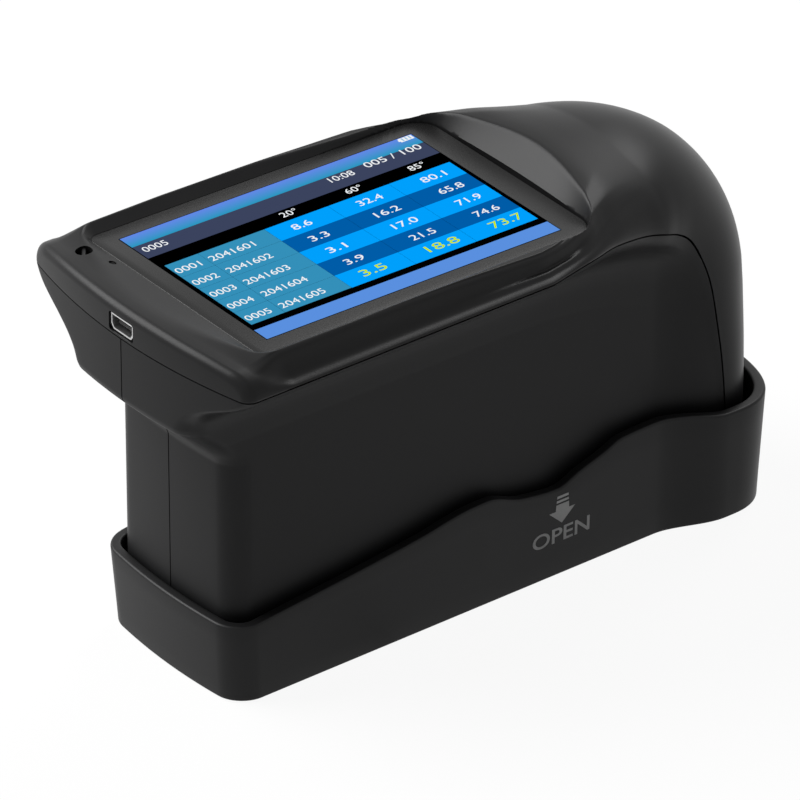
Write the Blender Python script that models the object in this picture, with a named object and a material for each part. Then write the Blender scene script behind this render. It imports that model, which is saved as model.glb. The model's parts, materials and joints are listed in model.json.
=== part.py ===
"""A handheld gloss meter standing in its calibration cover, in metres, +Z up.

X runs from the tail, where the display starts, to the round nose. Y is the width, and the form is
the same on both sides. Stations along X are set by the values below, and every finished piece is then
moved so that the middle of the overall length is at X = 0. Z = 0 is the surface that the cover stands on.
"""

from math import atan2, cos, pi, radians, sin, tan

import bmesh
import bpy
from mathutils import Matrix, Vector

# Fits between pieces
SEAM_GAP = 0.0003
FIT = 0.0003
SHELL_WALL = 0.002

# Deck, the wide and flat rear of the top housing
TAIL_X = -0.0727
TAIL_BOW = 0.0046
TAIL_BOW_END_X = TAIL_X + 0.0377
DECK_HALF_WIDTH = 0.036
DECK_CREST_Z = 0.0871
SEAM_Z = 0.0802
SHOULDER_INSET = 0.005
LIP_WIDTH = 0.0032
RIDGE_RADIUS = 0.002
TAIL_CORNER_RADIUS = 0.003

# Display
LCD_ACTIVE_LENGTH = 0.07344
LCD_ACTIVE_WIDTH = 0.04896
LCD_BORDER = 0.0018
LCD_THICKNESS = 0.0028
GLASS_BACK_X = TAIL_X + 0.0127
LCD_BACK_X = GLASS_BACK_X + 0.005
LCD_FRONT_X = LCD_BACK_X + LCD_ACTIVE_LENGTH
GLASS_FRONT_X = LCD_FRONT_X + 0.00606
GLASS_HALF_WIDTH = 0.0286
GLASS_THICKNESS = 0.0012
GLASS_CORNER_RADIUS = 0.0055
GLASS_BACK_Z = 0.0852
GLASS_TILT = radians(1.0)
RECESS_SIDE_SLOPE = 0.55
RECESS_RAMP_SLOPE = 5.0
FACET_SLOPE = 1.65
FACET_FOOT_BOW = 0.0014
RECESS_REACH = 0.006
LEDGE_THICKNESS = 0.0012
BRACKET_THICKNESS = 0.0008
BRACKET_LIP = 0.0008

# Head, the dome over the optics: nearly a quarter ellipse in side view
HEAD_X = GLASS_FRONT_X + 0.0205
HEAD_Z = 0.050
HEAD_LENGTH = 0.0326
HEAD_RISE = 0.0382
HEAD_POWER = 2.12
HEAD_START_X = HEAD_X - 0.0356
NOSE_HALF_WIDTH = 0.0232
NOSE_TUCK = 0.0026
NOSE_TUCK_POWER = 2.4
DOME_WIDTH_POWER = 1.85
DOME_DEPTH_POWER = 2.45

# Grip, the tall lower part that the two side shells form
GRIP_BACK_X = TAIL_X + 0.0112
GRIP_HALF_WIDTH = 0.0195
GRIP_CORNER_RADIUS = 0.005
GRIP_FLARE_START_X = HEAD_X + 0.002
GRIP_FLARE_END_X = HEAD_X + 0.018
PANEL_INSET = 0.0004
TAIL_WALL_HEIGHT = 0.0148
UNDERSIDE_DROP = 0.0105
BODY_FLOOR_Z = 0.0068

# Boards
BOARD_THICKNESS = 0.0016
MAIN_BOARD_DEPTH = 0.0086
MAIN_BOARD_BACK_X = GLASS_BACK_X - 0.004
MAIN_BOARD_FRONT_X = GLASS_FRONT_X + 0.0065
MAIN_BOARD_HALF_WIDTH = 0.0226
BOARD_POST_INSET = 0.0024
FRONT_POST_Y = 0.016
BOARD_POST_RADIUS = 0.0021
PILOT_RADIUS = 0.0011
SCREW_SHANK_RADIUS = 0.0008
SCREW_HEAD_RADIUS = 0.0018
SCREW_HEAD_HEIGHT = 0.0013
BOARD_SCREW_LENGTH = 0.0052
TAIL_BOARD_Z = 0.0790
TAIL_BOARD_HALF_WIDTH = 0.0176
TAIL_BOARD_LENGTH = 0.0100
TAIL_BOARD_GAP = 0.0005
TAIL_POST_Y = 0.0105
TAIL_POST_RADIUS = 0.0015
POST_BITE = 0.0006
BUZZER_RADIUS = 0.0045
BUZZER_HEIGHT = 0.003
BUZZER_X = HEAD_X - 0.033
CONNECTOR_HALF_WIDTH = 0.008

# Socket, light and cord eye in the tail
USB_WIDTH = 0.0074
USB_HEIGHT = 0.0036
USB_DEPTH = 0.0085
USB_WALL = 0.0004
USB_RECESS = 0.0004
USB_TONGUE_HEIGHT = 0.0008
LIGHT_X = GLASS_BACK_X - 0.0022
LIGHT_Y = 0.017
LIGHT_RADIUS = 0.00065
EYE_X = GLASS_BACK_X - 0.0045
EYE_Y = 0.0235
EYE_RING_RADIUS = 0.0012
EYE_TUNNEL_RADIUS = 0.0005

# Optics: beams meet at a spot at the middle of the aperture
SPOT_X = HEAD_X - 0.041
BEAM_ANGLES = {"20": radians(20), "60": radians(60), "85": radians(85)}
BEAM_RADIUS = {"20": 0.0035, "60": 0.0035, "85": 0.0014}
BLOCK_RADIUS = 0.040
BLOCK_HALF_WIDTH = 0.012
LENS_DISTANCE = 0.026
LENS_THICKNESS = 0.0016
EMITTER_LENGTH = 0.0055
DETECTOR_LENGTH = 0.004
APERTURE_LENGTH = 0.044
APERTURE_WIDTH = 0.012
BASE_THICKNESS = 0.0016
BASE_SCREW_INSET = 0.0095
BASE_SCREW_Y = 0.009
BASE_SCREW_LENGTH = 0.007

# Battery
CELL_RADIUS = 0.00925
CELL_LENGTH = 0.064
CRADLE_WALL = 0.0012
CRADLE_HEIGHT = 0.042

# Buttons in the left side shell
BUTTON_Z = 0.040
MEASURE_X = HEAD_X - 0.051
MEASURE_LENGTH = 0.022
MEASURE_WIDTH = 0.010
POWER_X = HEAD_X - 0.027
POWER_LENGTH = 0.010
POWER_WIDTH = 0.010
BUTTON_PROUD = 0.0008
BUTTON_TRAVEL = 0.0005
BUTTON_FLANGE = 0.0012
BUTTON_FLANGE_THICKNESS = 0.0012
SWITCH_SIDE = 0.006
SWITCH_HEIGHT = 0.0013
BUTTON_BOARD_MARGIN = 0.004

# Calibration cover
COVER_WALL = 0.0024
COVER_SIDE_GAP = 0.0004
COVER_DRAFT = 0.0007
COVER_FRONT_X = HEAD_X + 0.0328
COVER_FRONT_DRAFT = 0.0019
COVER_BACK_DRAFT = 0.0012
COVER_FLARE = 0.0041
COVER_FLARE_LEAD = 0.001
COVER_NOSE_POWER = 2.8
COVER_CORNER_RADIUS = 0.006
COVER_FLOOR = 0.0022
COVER_EDGE = 0.0006
COVER_BACK_GAP = 0.0003
RIM_BACK_Z = 0.0185
LEDGE_WIDTH = 0.0026
TILE_LENGTH = 0.054
TILE_WIDTH = 0.020
TILE_THICKNESS = 0.003
TILE_FRAME_WALL = 0.0014
TILE_FRAME_DROP = 0.0008

# Working places that follow from the sizes
COVER_FRONT_TOP_X = COVER_FRONT_X + COVER_FRONT_DRAFT
CENTRE_X = (TAIL_X + COVER_FRONT_TOP_X) / 2
POCKET_DEPTH = GLASS_THICKNESS + FIT
ROOF_DEPTH = POCKET_DEPTH + LEDGE_THICKNESS
USB_Z = TAIL_BOARD_Z + BOARD_THICKNESS + FIT + USB_HEIGHT / 2
BASE_TOP_Z = BODY_FLOOR_Z + BASE_THICKNESS
BLOCK_FLOOR_Z = BASE_TOP_Z + FIT
LIFT_ORIGIN = Vector((0, 0, BODY_FLOOR_Z))
TOP_ROOM_REACH = 0.004
SIDE_ROOM_REACH = 0.006

# The seam between the top housing and the side shells in side view, tail to nose foot
SEAM_LINE = [
    (TAIL_X, SEAM_Z),
    (HEAD_X - 0.035, SEAM_Z),
    (HEAD_X - 0.020, SEAM_Z - 0.0007),
    (HEAD_X - 0.010, SEAM_Z - 0.0027),
    (HEAD_X - 0.002, SEAM_Z - 0.0052),
    (HEAD_X + 0.004, SEAM_Z - 0.0080),
    (HEAD_X + 0.0080, HEAD_Z + 0.0190),
    (HEAD_X + 0.0114, HEAD_Z + 0.0134),
    (HEAD_X + 0.0143, HEAD_Z + 0.0058),
    (HEAD_X + 0.0162, HEAD_Z - 0.0036),
    (HEAD_X + 0.0178, HEAD_Z - 0.0138),
    (HEAD_X + 0.0187, HEAD_Z - 0.0238),
    (HEAD_X + 0.0193, BODY_FLOOR_Z),
]
SEAM_BEND_STEP = 7

# Stations of the sections: places along the deck, and steps of the seam round the head and down the nose
HEAD_RESTS = (0.067, 0.055, 0.043, 0.035, 0.028, 0.0245, 0.021, 0.0165, 0.012, 0.008, 0.004, 0.0)
STATIONS = (
    [TAIL_X + share * (TAIL_BOW_END_X - TAIL_X) for share in (0.18, 0.35, 0.6, 1.0)]
    + [HEAD_X - rest for rest in HEAD_RESTS]
)
ROOM_STATIONS = (
    [GLASS_BACK_X]
    + [HEAD_X - rest for rest in (0.075, 0.045, 0.027)]
    + [GLASS_FRONT_X + FACET_FOOT_BOW, HEAD_X - 0.010, HEAD_X - SEAM_GAP]
)
HEAD_STEPS = (5, 5.5, 6, 6.5, SEAM_BEND_STEP, 7.35, 7.7, 8, 8.3)
NOSE_STEPS = (9, 10, 11, 12)

# How far the seam stands out past the nose's width, as a share of the deck's extra width
SEAM_WIDTH_SHARES = [
    (HEAD_X - 0.037, 1.0),
    (HEAD_X - 0.025, 0.77),
    (HEAD_X - 0.016, 0.53),
    (HEAD_X - 0.005, 0.30),
    (HEAD_X + 0.000, 0.24),
    (HEAD_X + 0.004, 0.14),
    (HEAD_X + 0.008, 0.06),
    (HEAD_X + 0.012, 0.02),
    (HEAD_X + 0.017, 0.0),
]

# The sweep from the lip in to the grip: depth below the seam, share of the overhang left
LIP_SWEEP = [
    (0.0, 1.0),
    (0.0015, 0.93),
    (0.0030, 0.82),
    (0.0047, 0.62),
    (0.0062, 0.44),
    (0.0088, 0.22),
    (0.0117, 0.09),
    (0.0150, 0.03),
    (0.0200, 0.0),
]

# How far the crest lies below its highest line along the deck, and the same for the dome before the head
DECK_CREST = [
    (HEAD_X - 0.085, 0.0),
    (HEAD_X - 0.065, 0.0005),
    (HEAD_X - 0.045, 0.0013),
    (HEAD_X - 0.031, 0.0016),
    (HEAD_X - 0.021, -0.0012),
]
DOME_CREST = [
    (HEAD_X - 0.0450, 0.0045),
    (HEAD_X - 0.0203, 0.0012),
    (HEAD_X - 0.0127, -0.0004),
    (HEAD_X - 0.0070, -0.0007),
    (HEAD_X, 0.0),
]

# The cover's rim line: place along the grip, height above its lowest rim
RIM_LINE = [
    (HEAD_X - 0.1027, 0.0),
    (HEAD_X - 0.0786, 0.0024),
    (HEAD_X - 0.0608, 0.0045),
    (HEAD_X - 0.0473, 0.0066),
    (HEAD_X - 0.0430, 0.0067),
    (HEAD_X - 0.0343, 0.0039),
    (HEAD_X - 0.0250, 0.0028),
    (HEAD_X - 0.0195, 0.0049),
    (HEAD_X - 0.0127, 0.0071),
    (HEAD_X - 0.0083, 0.0088),
    (HEAD_X + 0.0002, 0.0091),
    (HEAD_X + 0.0084, 0.0086),
    (HEAD_X + 0.0168, 0.0073),
    (HEAD_X + 0.0310, 0.0070),
]


def curve_through(points, place):
    """Height at a place on the smooth curve through (place, height) points, level past its ends."""
    if place <= points[0][0]:
        return points[0][1]
    if place >= points[-1][0]:
        return points[-1][1]
    spans = [b[0] - a[0] for a, b in zip(points, points[1:])]
    grades = [(b[1] - a[1]) / span for a, b, span in zip(points, points[1:], spans)]
    tangents = [0.0]
    for before, after in zip(grades, grades[1:]):
        tangents.append(2 * before * after / (before + after) if before * after > 0 else 0.0)
    tangents.append(0.0)
    tangents[0] = grades[0]
    tangents[-1] = grades[-1]
    i = max(k for k, point in enumerate(points[:-1]) if point[0] <= place)
    t = (place - points[i][0]) / spans[i]
    start = (1 + 2 * t) * (1 - t) ** 2 * points[i][1]
    end = t * t * (3 - 2 * t) * points[i + 1][1]
    bend = spans[i] * (t * (1 - t) ** 2 * tangents[i] - t * t * (1 - t) * tangents[i + 1])
    return start + end + bend


def smooth_step(start, end, place):
    t = min(1.0, max(0.0, (place - start) / (end - start)))
    return t * t * (3 - 2 * t)


def seam_at(step):
    """Point (x, z) of the seam line, a step being the way from one of its points to the next."""
    x = curve_through([(i, point[0]) for i, point in enumerate(SEAM_LINE)], step)
    z = curve_through([(i, point[1]) for i, point in enumerate(SEAM_LINE)], step)
    return x, z


def seam_step_where(passed):
    """The step along the seam line at which a test on (x, z) first holds."""
    low = 0.0
    high = len(SEAM_LINE) - 1.0
    for _ in range(40):
        middle = (low + high) / 2
        if passed(*seam_at(middle)):
            high = middle
        else:
            low = middle
    return high


def seam_z(x):
    return seam_at(seam_step_where(lambda seam_x, _: seam_x >= x))[1]


def seam_x(z):
    return seam_at(seam_step_where(lambda _, seam_height: seam_height <= z))[0]


def seam_half_width(x):
    extra = DECK_HALF_WIDTH - NOSE_HALF_WIDTH
    return NOSE_HALF_WIDTH + extra * curve_through(SEAM_WIDTH_SHARES, x)


def grip_half_width(x):
    flare = NOSE_HALF_WIDTH - PANEL_INSET - GRIP_HALF_WIDTH
    return GRIP_HALF_WIDTH + flare * smooth_step(GRIP_FLARE_START_X, GRIP_FLARE_END_X, x)


def side_half_width(x, z):
    """Half the width of the side shells' form at a place in side view."""
    overhang = seam_half_width(x) - grip_half_width(x)
    return grip_half_width(x) + overhang * curve_through(LIP_SWEEP, seam_z(x) - z)


def bowed(x, y):
    """X of a point once the tail's bow in plan is added to it."""
    return x + TAIL_BOW * (y / DECK_HALF_WIDTH) ** 2 * smooth_step(TAIL_BOW_END_X, GRIP_BACK_X, x)


def glass_z(x):
    """Height of the display glass's upper face, which falls towards the head."""
    return GLASS_BACK_Z - (x - GLASS_BACK_X) * tan(GLASS_TILT)


def material(name, colour, roughness, metallic=0.0):
    made = bpy.data.materials.new(name)
    made.use_nodes = True
    surface = made.node_tree.nodes["Principled BSDF"]
    surface.inputs["Base Color"].default_value = (*colour, 1.0)
    surface.inputs["Roughness"].default_value = roughness
    surface.inputs["Metallic"].default_value = metallic
    return made


def add_object(name, bm, origin, parent=None, finish=None):
    """Make a mesh object from a bmesh that is modelled in place, with its origin where it is told."""
    bmesh.ops.recalc_face_normals(bm, faces=bm.faces)
    if bm.calc_volume(signed=True) < 0:
        bmesh.ops.reverse_faces(bm, faces=bm.faces)
    bmesh.ops.translate(bm, verts=bm.verts, vec=Vector((-CENTRE_X, 0, 0)) - origin)
    mesh = bpy.data.meshes.new(name)
    bm.to_mesh(mesh)
    bm.free()
    mesh.shade_smooth()
    mesh.set_sharp_from_angle(angle=radians(35))
    made = bpy.data.objects.new(name, mesh)
    bpy.context.collection.objects.link(made)
    made.location = origin
    if parent:
        made.parent = parent
        made.location = origin - parent.location
    if finish:
        made.data.materials.append(finish)
    return made


def add_cutter(name, bm):
    made = add_object(name, bm, Vector((0, 0, 0)))
    made.hide_render = True
    made.display_type = "WIRE"
    return made


def add_boolean(target, operation, cutter):
    """Cut a cutter from a piece, or join it on."""
    boolean = target.modifiers.new(cutter.name, "BOOLEAN")
    boolean.operation = operation
    boolean.object = cutter
    boolean.solver = "EXACT"
    return boolean


def make_box(x0, x1, y0, y1, z0, z1):
    bm = bmesh.new()
    bmesh.ops.create_cube(bm, size=1)
    scale = Matrix.Diagonal((x1 - x0, y1 - y0, z1 - z0, 1))
    centre = Vector(((x0 + x1) / 2, (y0 + y1) / 2, (z0 + z1) / 2))
    bmesh.ops.transform(bm, matrix=Matrix.Translation(centre) @ scale, verts=bm.verts)
    return bm


def make_rod(start, end, radius, segments=20, roll=0.0):
    """A round rod between two points, its facets turned about its axis by the roll."""
    bm = bmesh.new()
    along = Vector(end) - Vector(start)
    turn = along.to_track_quat("Z", "Y").to_matrix().to_4x4() @ Matrix.Rotation(roll, 4, "Z")
    place = Matrix.Translation((Vector(start) + Vector(end)) / 2) @ turn
    bmesh.ops.create_cone(
        bm, cap_ends=True, segments=segments, radius1=radius, radius2=radius, depth=along.length, matrix=place
    )
    return bm


def make_loft(loops):
    """A closed solid through loops with the same number of points each, capped at both ends."""
    bm = bmesh.new()
    rings = [[bm.verts.new(point) for point in loop] for loop in loops]
    for lower, upper in zip(rings, rings[1:]):
        for i in range(len(lower)):
            bm.faces.new((lower[i - 1], lower[i], upper[i], upper[i - 1]))
    bm.faces.new(rings[0])
    bm.faces.new(rings[-1])
    return bm


def merge_into(target, source):
    """Add one bmesh's geometry to another, as a body of its own."""
    carrier = bpy.data.meshes.new("carrier")
    source.to_mesh(carrier)
    source.free()
    target.from_mesh(carrier)
    bpy.data.meshes.remove(carrier)
    return target


def rounded_outline(back, front, half_width, radius, back_bow=0.0, front_bow=0.0, steps=4, straight=4):
    """A rectangle's outline in plan with round corners, whose two ends can bow outwards."""
    corners = [
        (front - radius, half_width - radius, 0),
        (back + radius, half_width - radius, 90),
        (back + radius, radius - half_width, 180),
        (front - radius, radius - half_width, 270),
    ]
    outline = []
    for x, y, start in corners:
        for i in range(steps + 1):
            angle = radians(start + 90 * i / steps)
            outline.append((x + radius * cos(angle), y + radius * sin(angle)))
        if start in (90, 270):
            along = [1 - 2 * i / straight for i in range(1, straight)]
            sign = 1 if start == 90 else -1
            end = back if start == 90 else front
            outline += [(end, sign * share * (half_width - radius)) for share in along]
    bows = []
    for x, y in outline:
        share = 1 - (y / half_width) ** 2
        bows.append((x + front_bow * share if x > (front + back) / 2 else x - back_bow * share, y))
    return bows


def deck_section(half_width, crest, seam):
    """Half-section of the deck from its middle to its lip, as (y, z) points."""
    flat = half_width - SHOULDER_INSET
    lip = half_width - LIP_WIDTH
    points = [(flat * i / 4, crest) for i in range(5)]
    points += [(lip - 0.0013, crest - 0.00035), (lip - 0.0006, crest - 0.0010), (lip, crest - 0.0035)]
    points += [(lip + 0.0008, seam + 0.0017), (lip + 0.0018, seam + 0.0010), (lip + 0.0027, seam + 0.0007)]
    points += [(half_width, seam + 0.0004), (half_width, seam)]
    return points


def inner_deck_section(half_width, roof, foot):
    """Half-section of the room under the deck: a flat roof with steep sides."""
    side = half_width - LIP_WIDTH - SHELL_WALL
    points = [(side * i / 8, roof) for i in range(8)]
    points += [(side - 0.001, roof), (side - 0.0003, roof - 0.0003), (side, roof - 0.001)]
    points += [(side, (roof - 0.001 + foot) / 2), (side, foot)]
    return points


def dome_share(count):
    """Shares of half-width and depth along a quarter of the dome's section, crest to foot."""
    shares = []
    for i in range(count + 1):
        angle = pi / 2 * (1 - i / count)
        shares.append((max(0.0, cos(angle)) ** (2 / DOME_WIDTH_POWER), sin(angle) ** (2 / DOME_DEPTH_POWER)))
    return shares


def half_section_above_seam(x, inset, reach):
    """Half-section of the top housing's form at a station up to the head, as (x, y, z) points."""
    half_width = seam_half_width(x)
    seam = seam_z(x)
    deck_z = DECK_CREST_Z - curve_through(DECK_CREST, x)
    dome_z = HEAD_Z + HEAD_RISE - curve_through(DOME_CREST, x)
    if inset:
        deck = inner_deck_section(half_width, glass_z(x) - ROOF_DEPTH, seam - reach)
        width = half_width - inset
        rise = dome_z - inset - seam + reach
        dome = [(width * y, seam - reach + rise * z) for y, z in dome_share(len(deck) - 1)]
    else:
        deck = deck_section(half_width, deck_z, seam)
        rise = dome_z - seam
        dome = [(half_width * y, seam + rise * z) for y, z in dome_share(len(deck) - 1)]
    weight = smooth_step(HEAD_START_X, HEAD_X, x)
    if inset:
        weight = smooth_step(GLASS_FRONT_X + FACET_FOOT_BOW, HEAD_X, x)
    return [(x, a[0] + (b[0] - a[0]) * weight, a[1] + (b[1] - a[1]) * weight) for a, b in zip(deck, dome)]


def head_section(step, inset, reach):
    """Half-section of the head in the plane through the head's centre line and a step of the seam."""
    foot_x, foot_z = seam_at(step)
    along = Vector((foot_x - HEAD_X, foot_z - HEAD_Z))
    foot = along.length
    along.normalize()
    reached = (abs(along.x) / HEAD_LENGTH) ** HEAD_POWER + (abs(along.y) / HEAD_RISE) ** HEAD_POWER
    crest = reached ** (-1 / HEAD_POWER)
    width = seam_half_width(foot_x) - inset
    points = []
    for y, depth in dome_share(12):
        radius = foot - reach + (crest - inset - foot + reach) * depth
        points.append((HEAD_X + along.x * radius, width * y, HEAD_Z + along.y * radius))
    return points


def nose_section(z, inset, reach):
    """Half-section of the upright nose at a height of the seam, as (x, y, z) points."""
    tuck = NOSE_TUCK * ((HEAD_Z - z) / (HEAD_Z - BODY_FLOOR_Z)) ** NOSE_TUCK_POWER
    front = HEAD_X + HEAD_LENGTH - tuck - inset
    foot = seam_x(z) - reach
    width = seam_half_width(seam_x(z)) - inset
    return [(foot + (front - foot) * depth, width * y, z) for y, depth in dome_share(12)]


def tail_rows(inset, reach):
    """Rows of the tail: up its wall and over its ridge on to the deck."""
    start = TAIL_X + inset
    section = half_section_above_seam(start, inset, reach)
    foot = section[-1][2]
    width = section[-1][1]
    rows = []
    for angle in [radians(a) for a in (0, 30, 60, 90)]:
        row = []
        for _, y, z in section:
            edge = (y / width) ** 6
            radius = RIDGE_RADIUS + (TAIL_CORNER_RADIUS - RIDGE_RADIUS) * edge
            drop = RIDGE_RADIUS * (1 - sin(angle)) * min(1.0, (z - foot) / (2 * RIDGE_RADIUS))
            side = y - TAIL_CORNER_RADIUS * (1 - sin(angle)) * edge
            row.append((start + radius * (1 - cos(angle)), side, z - drop))
        rows.append(row)
    wall_foot = [(x, y, foot) for x, y, _ in rows[0]]
    return [wall_foot] + rows


def top_form(inset, reach, stations, head_steps, nose_heights):
    """The top housing's outer form, or with an inset the room inside it, as a closed solid."""
    rows = tail_rows(inset, reach)
    rows += [half_section_above_seam(x, inset, reach) for x in stations]
    rows += [head_section(step, inset, reach) for step in head_steps]
    rows += [nose_section(z, inset, reach) for z in nose_heights]
    rows[-1] = [(x, y, z - reach) for x, y, z in rows[-1]]
    across = len(rows[0]) - 1
    bm = bmesh.new()
    bmesh.ops.create_grid(bm, x_segments=2 * across, y_segments=len(rows) - 1, size=0.5)
    for vert in bm.verts:
        column = round((vert.co.x + 0.5) * 2 * across) - across
        row = rows[round((vert.co.y + 0.5) * (len(rows) - 1))]
        x, y, z = row[abs(column)]
        vert.co = (bowed(x, y), y if column > 0 else -y, z)
    floor_verts = bmesh.ops.create_grid(bm, x_segments=1, y_segments=len(rows) - 1, size=0.5)["verts"]
    for vert in floor_verts:
        x, y, z = rows[round((vert.co.y + 0.5) * (len(rows) - 1))][-1]
        vert.co = (bowed(x, y), y if vert.co.x > 0 else -y, z)
    bmesh.ops.remove_doubles(bm, verts=bm.verts, dist=0.00001)
    bmesh.ops.holes_fill(bm, edges=[edge for edge in bm.edges if edge.is_boundary], sides=0)
    bmesh.ops.dissolve_degenerate(bm, dist=0.00001, edges=bm.edges)
    return bm


def recess_form():
    """What is taken out above the display: the glass's pocket, the sloping sides and the head's facet."""
    loops = []
    for height, depth in ((-POCKET_DEPTH, 0), (0, 0), (RECESS_REACH, RECESS_REACH)):
        outline = rounded_outline(
            GLASS_BACK_X - FIT - 0.3 * depth,
            GLASS_FRONT_X + FIT + FACET_SLOPE * depth,
            GLASS_HALF_WIDTH + FIT + RECESS_SIDE_SLOPE * depth,
            GLASS_CORNER_RADIUS + FIT + depth / 2,
            back_bow=RECESS_RAMP_SLOPE * depth,
            front_bow=FACET_FOOT_BOW,
            straight=10,
        )
        loops.append([(x, y, glass_z(x) + height) for x, y in outline])
    return make_loft(loops)


def flat_box(back, front, half_width, depth, thickness):
    """A box parallel to the display glass, a depth below the glass's upper face."""
    bm = make_box(back, front, -half_width, half_width, -depth - thickness, -depth)
    for vert in bm.verts:
        vert.co.z += glass_z(vert.co.x)
    return bm


def main_board_posts():
    """Places (x, y) of the four posts that carry the main board."""
    back = MAIN_BOARD_BACK_X + BOARD_POST_INSET
    front = MAIN_BOARD_FRONT_X - BOARD_POST_INSET
    side = MAIN_BOARD_HALF_WIDTH - BOARD_POST_INSET
    return [(back, -side), (back, side), (front, -FRONT_POST_Y), (front, FRONT_POST_Y)]


def build_top_housing(parent, finish):
    heights = [HEAD_Z] + [seam_at(step)[1] for step in NOSE_STEPS]
    form = top_form(0, 0, STATIONS, HEAD_STEPS, heights)
    shell = add_object("top_housing", form, LIFT_ORIGIN, parent, finish)
    steps = [step + 0.15 for step in HEAD_STEPS[::2]]
    room = top_form(SHELL_WALL, TOP_ROOM_REACH, ROOM_STATIONS, steps, (HEAD_Z - 0.001, BODY_FLOOR_Z))
    add_boolean(shell, "DIFFERENCE", add_cutter("top_housing_room", room))
    add_boolean(shell, "DIFFERENCE", add_cutter("display_recess", recess_form()))
    window = flat_box(
        LCD_BACK_X - LCD_BORDER / 2,
        LCD_FRONT_X + LCD_BORDER / 2,
        (LCD_ACTIVE_WIDTH + LCD_BORDER) / 2,
        GLASS_THICKNESS / 2,
        ROOF_DEPTH + 0.001,
    )
    add_boolean(shell, "DIFFERENCE", add_cutter("display_window", window))
    half = USB_WIDTH / 2 + FIT
    rise = USB_HEIGHT / 2 + FIT
    deep = TAIL_X + USB_RECESS + USB_DEPTH + FIT
    socket_room = make_box(TAIL_X - 0.001, deep, -half, half, USB_Z - rise, USB_Z + rise)
    add_boolean(shell, "DIFFERENCE", add_cutter("usb_opening", socket_room))
    light_foot = Vector((LIGHT_X, LIGHT_Y, SEAM_Z))
    light_top = Vector((LIGHT_X, LIGHT_Y, DECK_CREST_Z + 0.001))
    light = make_rod(light_foot, light_top, LIGHT_RADIUS + FIT / 2, 12)
    add_boolean(shell, "DIFFERENCE", add_cutter("light_hole", light))
    add_boolean(shell, "DIFFERENCE", add_cutter("cord_eye_tunnel", cord_eye_tunnel()))
    posts = bmesh.new()
    for x, y in main_board_posts():
        roof = glass_z(x) - ROOF_DEPTH + POST_BITE
        board = glass_z(x) - MAIN_BOARD_DEPTH + FIT
        merge_into(posts, make_rod((x, y, board), (x, y, roof), BOARD_POST_RADIUS))
    tail_x = TAIL_X + SHELL_WALL + TAIL_BOARD_LENGTH / 2 + TAIL_BOARD_GAP
    for y in (-TAIL_POST_Y, TAIL_POST_Y):
        board = TAIL_BOARD_Z + BOARD_THICKNESS + FIT
        roof = glass_z(tail_x) - ROOF_DEPTH + POST_BITE
        merge_into(posts, make_rod((tail_x, y, board), (tail_x, y, roof), TAIL_POST_RADIUS, 16))
    add_boolean(shell, "UNION", add_cutter("board_posts", posts))
    pilots = bmesh.new()
    for x, y in main_board_posts():
        board = glass_z(x) - MAIN_BOARD_DEPTH - 0.001
        merge_into(pilots, make_rod((x, y, board), (x, y, board + BOARD_SCREW_LENGTH), PILOT_RADIUS, 12))
    add_boolean(shell, "DIFFERENCE", add_cutter("post_pilots", pilots))
    return shell


def cord_eye_tunnel():
    """A bent tunnel under a bar, which a wrist cord goes through."""
    bm = bmesh.new()
    profile = bmesh.ops.create_circle(bm, segments=8, radius=EYE_TUNNEL_RADIUS, cap_ends=False)["verts"]
    turn = Matrix.Rotation(pi / 2, 4, "X")
    bmesh.ops.transform(bm, matrix=Matrix.Translation((EYE_RING_RADIUS, 0, 0)) @ turn, verts=profile)
    bmesh.ops.spin(
        bm, geom=list(bm.verts) + list(bm.edges), axis=(0, 0, 1), angle=2 * pi, steps=16, use_merge=True
    )
    bmesh.ops.remove_doubles(bm, verts=bm.verts, dist=0.00001)
    stand = Matrix.Rotation(pi / 2, 4, "X")
    surface = glass_z(GLASS_BACK_X) + 0.0009
    bmesh.ops.transform(bm, matrix=Matrix.Translation((EYE_X, EYE_Y, surface)) @ stand, verts=bm.verts)
    return bm


def row_fall(height, x):
    """How far a side shell's row has come down with the seam at a station, less so near the foot."""
    bend_x = SEAM_LINE[SEAM_BEND_STEP][0]
    share = smooth_step(BODY_FLOOR_Z, SEAM_Z - TAIL_WALL_HEIGHT - UNDERSIDE_DROP, height)
    return (SEAM_Z - seam_z(min(x, bend_x))) * share


def side_rows():
    """Heights at the tail of a side shell's rows, from its lip to its foot."""
    depths = [depth for depth, _ in LIP_SWEEP[1:7]]
    depths += [TAIL_WALL_HEIGHT - 0.0012, TAIL_WALL_HEIGHT, TAIL_WALL_HEIGHT + 0.0008]
    depths += [TAIL_WALL_HEIGHT + UNDERSIDE_DROP - 0.0012, TAIL_WALL_HEIGHT + UNDERSIDE_DROP + 0.0008]
    heights = [SEAM_Z] + [SEAM_Z - depth for depth in depths]
    lowest = heights[-1]
    return heights + [lowest + (BODY_FLOOR_Z - lowest) * share for share in (0.3, 0.65, 1)]


def back_x(z):
    """X of the rear face at the middle: the tail's wall, its underside and the grip's back."""
    low = SEAM_Z - TAIL_WALL_HEIGHT
    slope = [
        (low - UNDERSIDE_DROP - 0.0008, GRIP_BACK_X),
        (low - UNDERSIDE_DROP + 0.0012, GRIP_BACK_X - 0.0008),
        (low - 0.0008, TAIL_X + 0.0014),
        (low, TAIL_X + 0.0004),
        (low + 0.0012, TAIL_X),
    ]
    return curve_through(slope, z)


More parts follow.
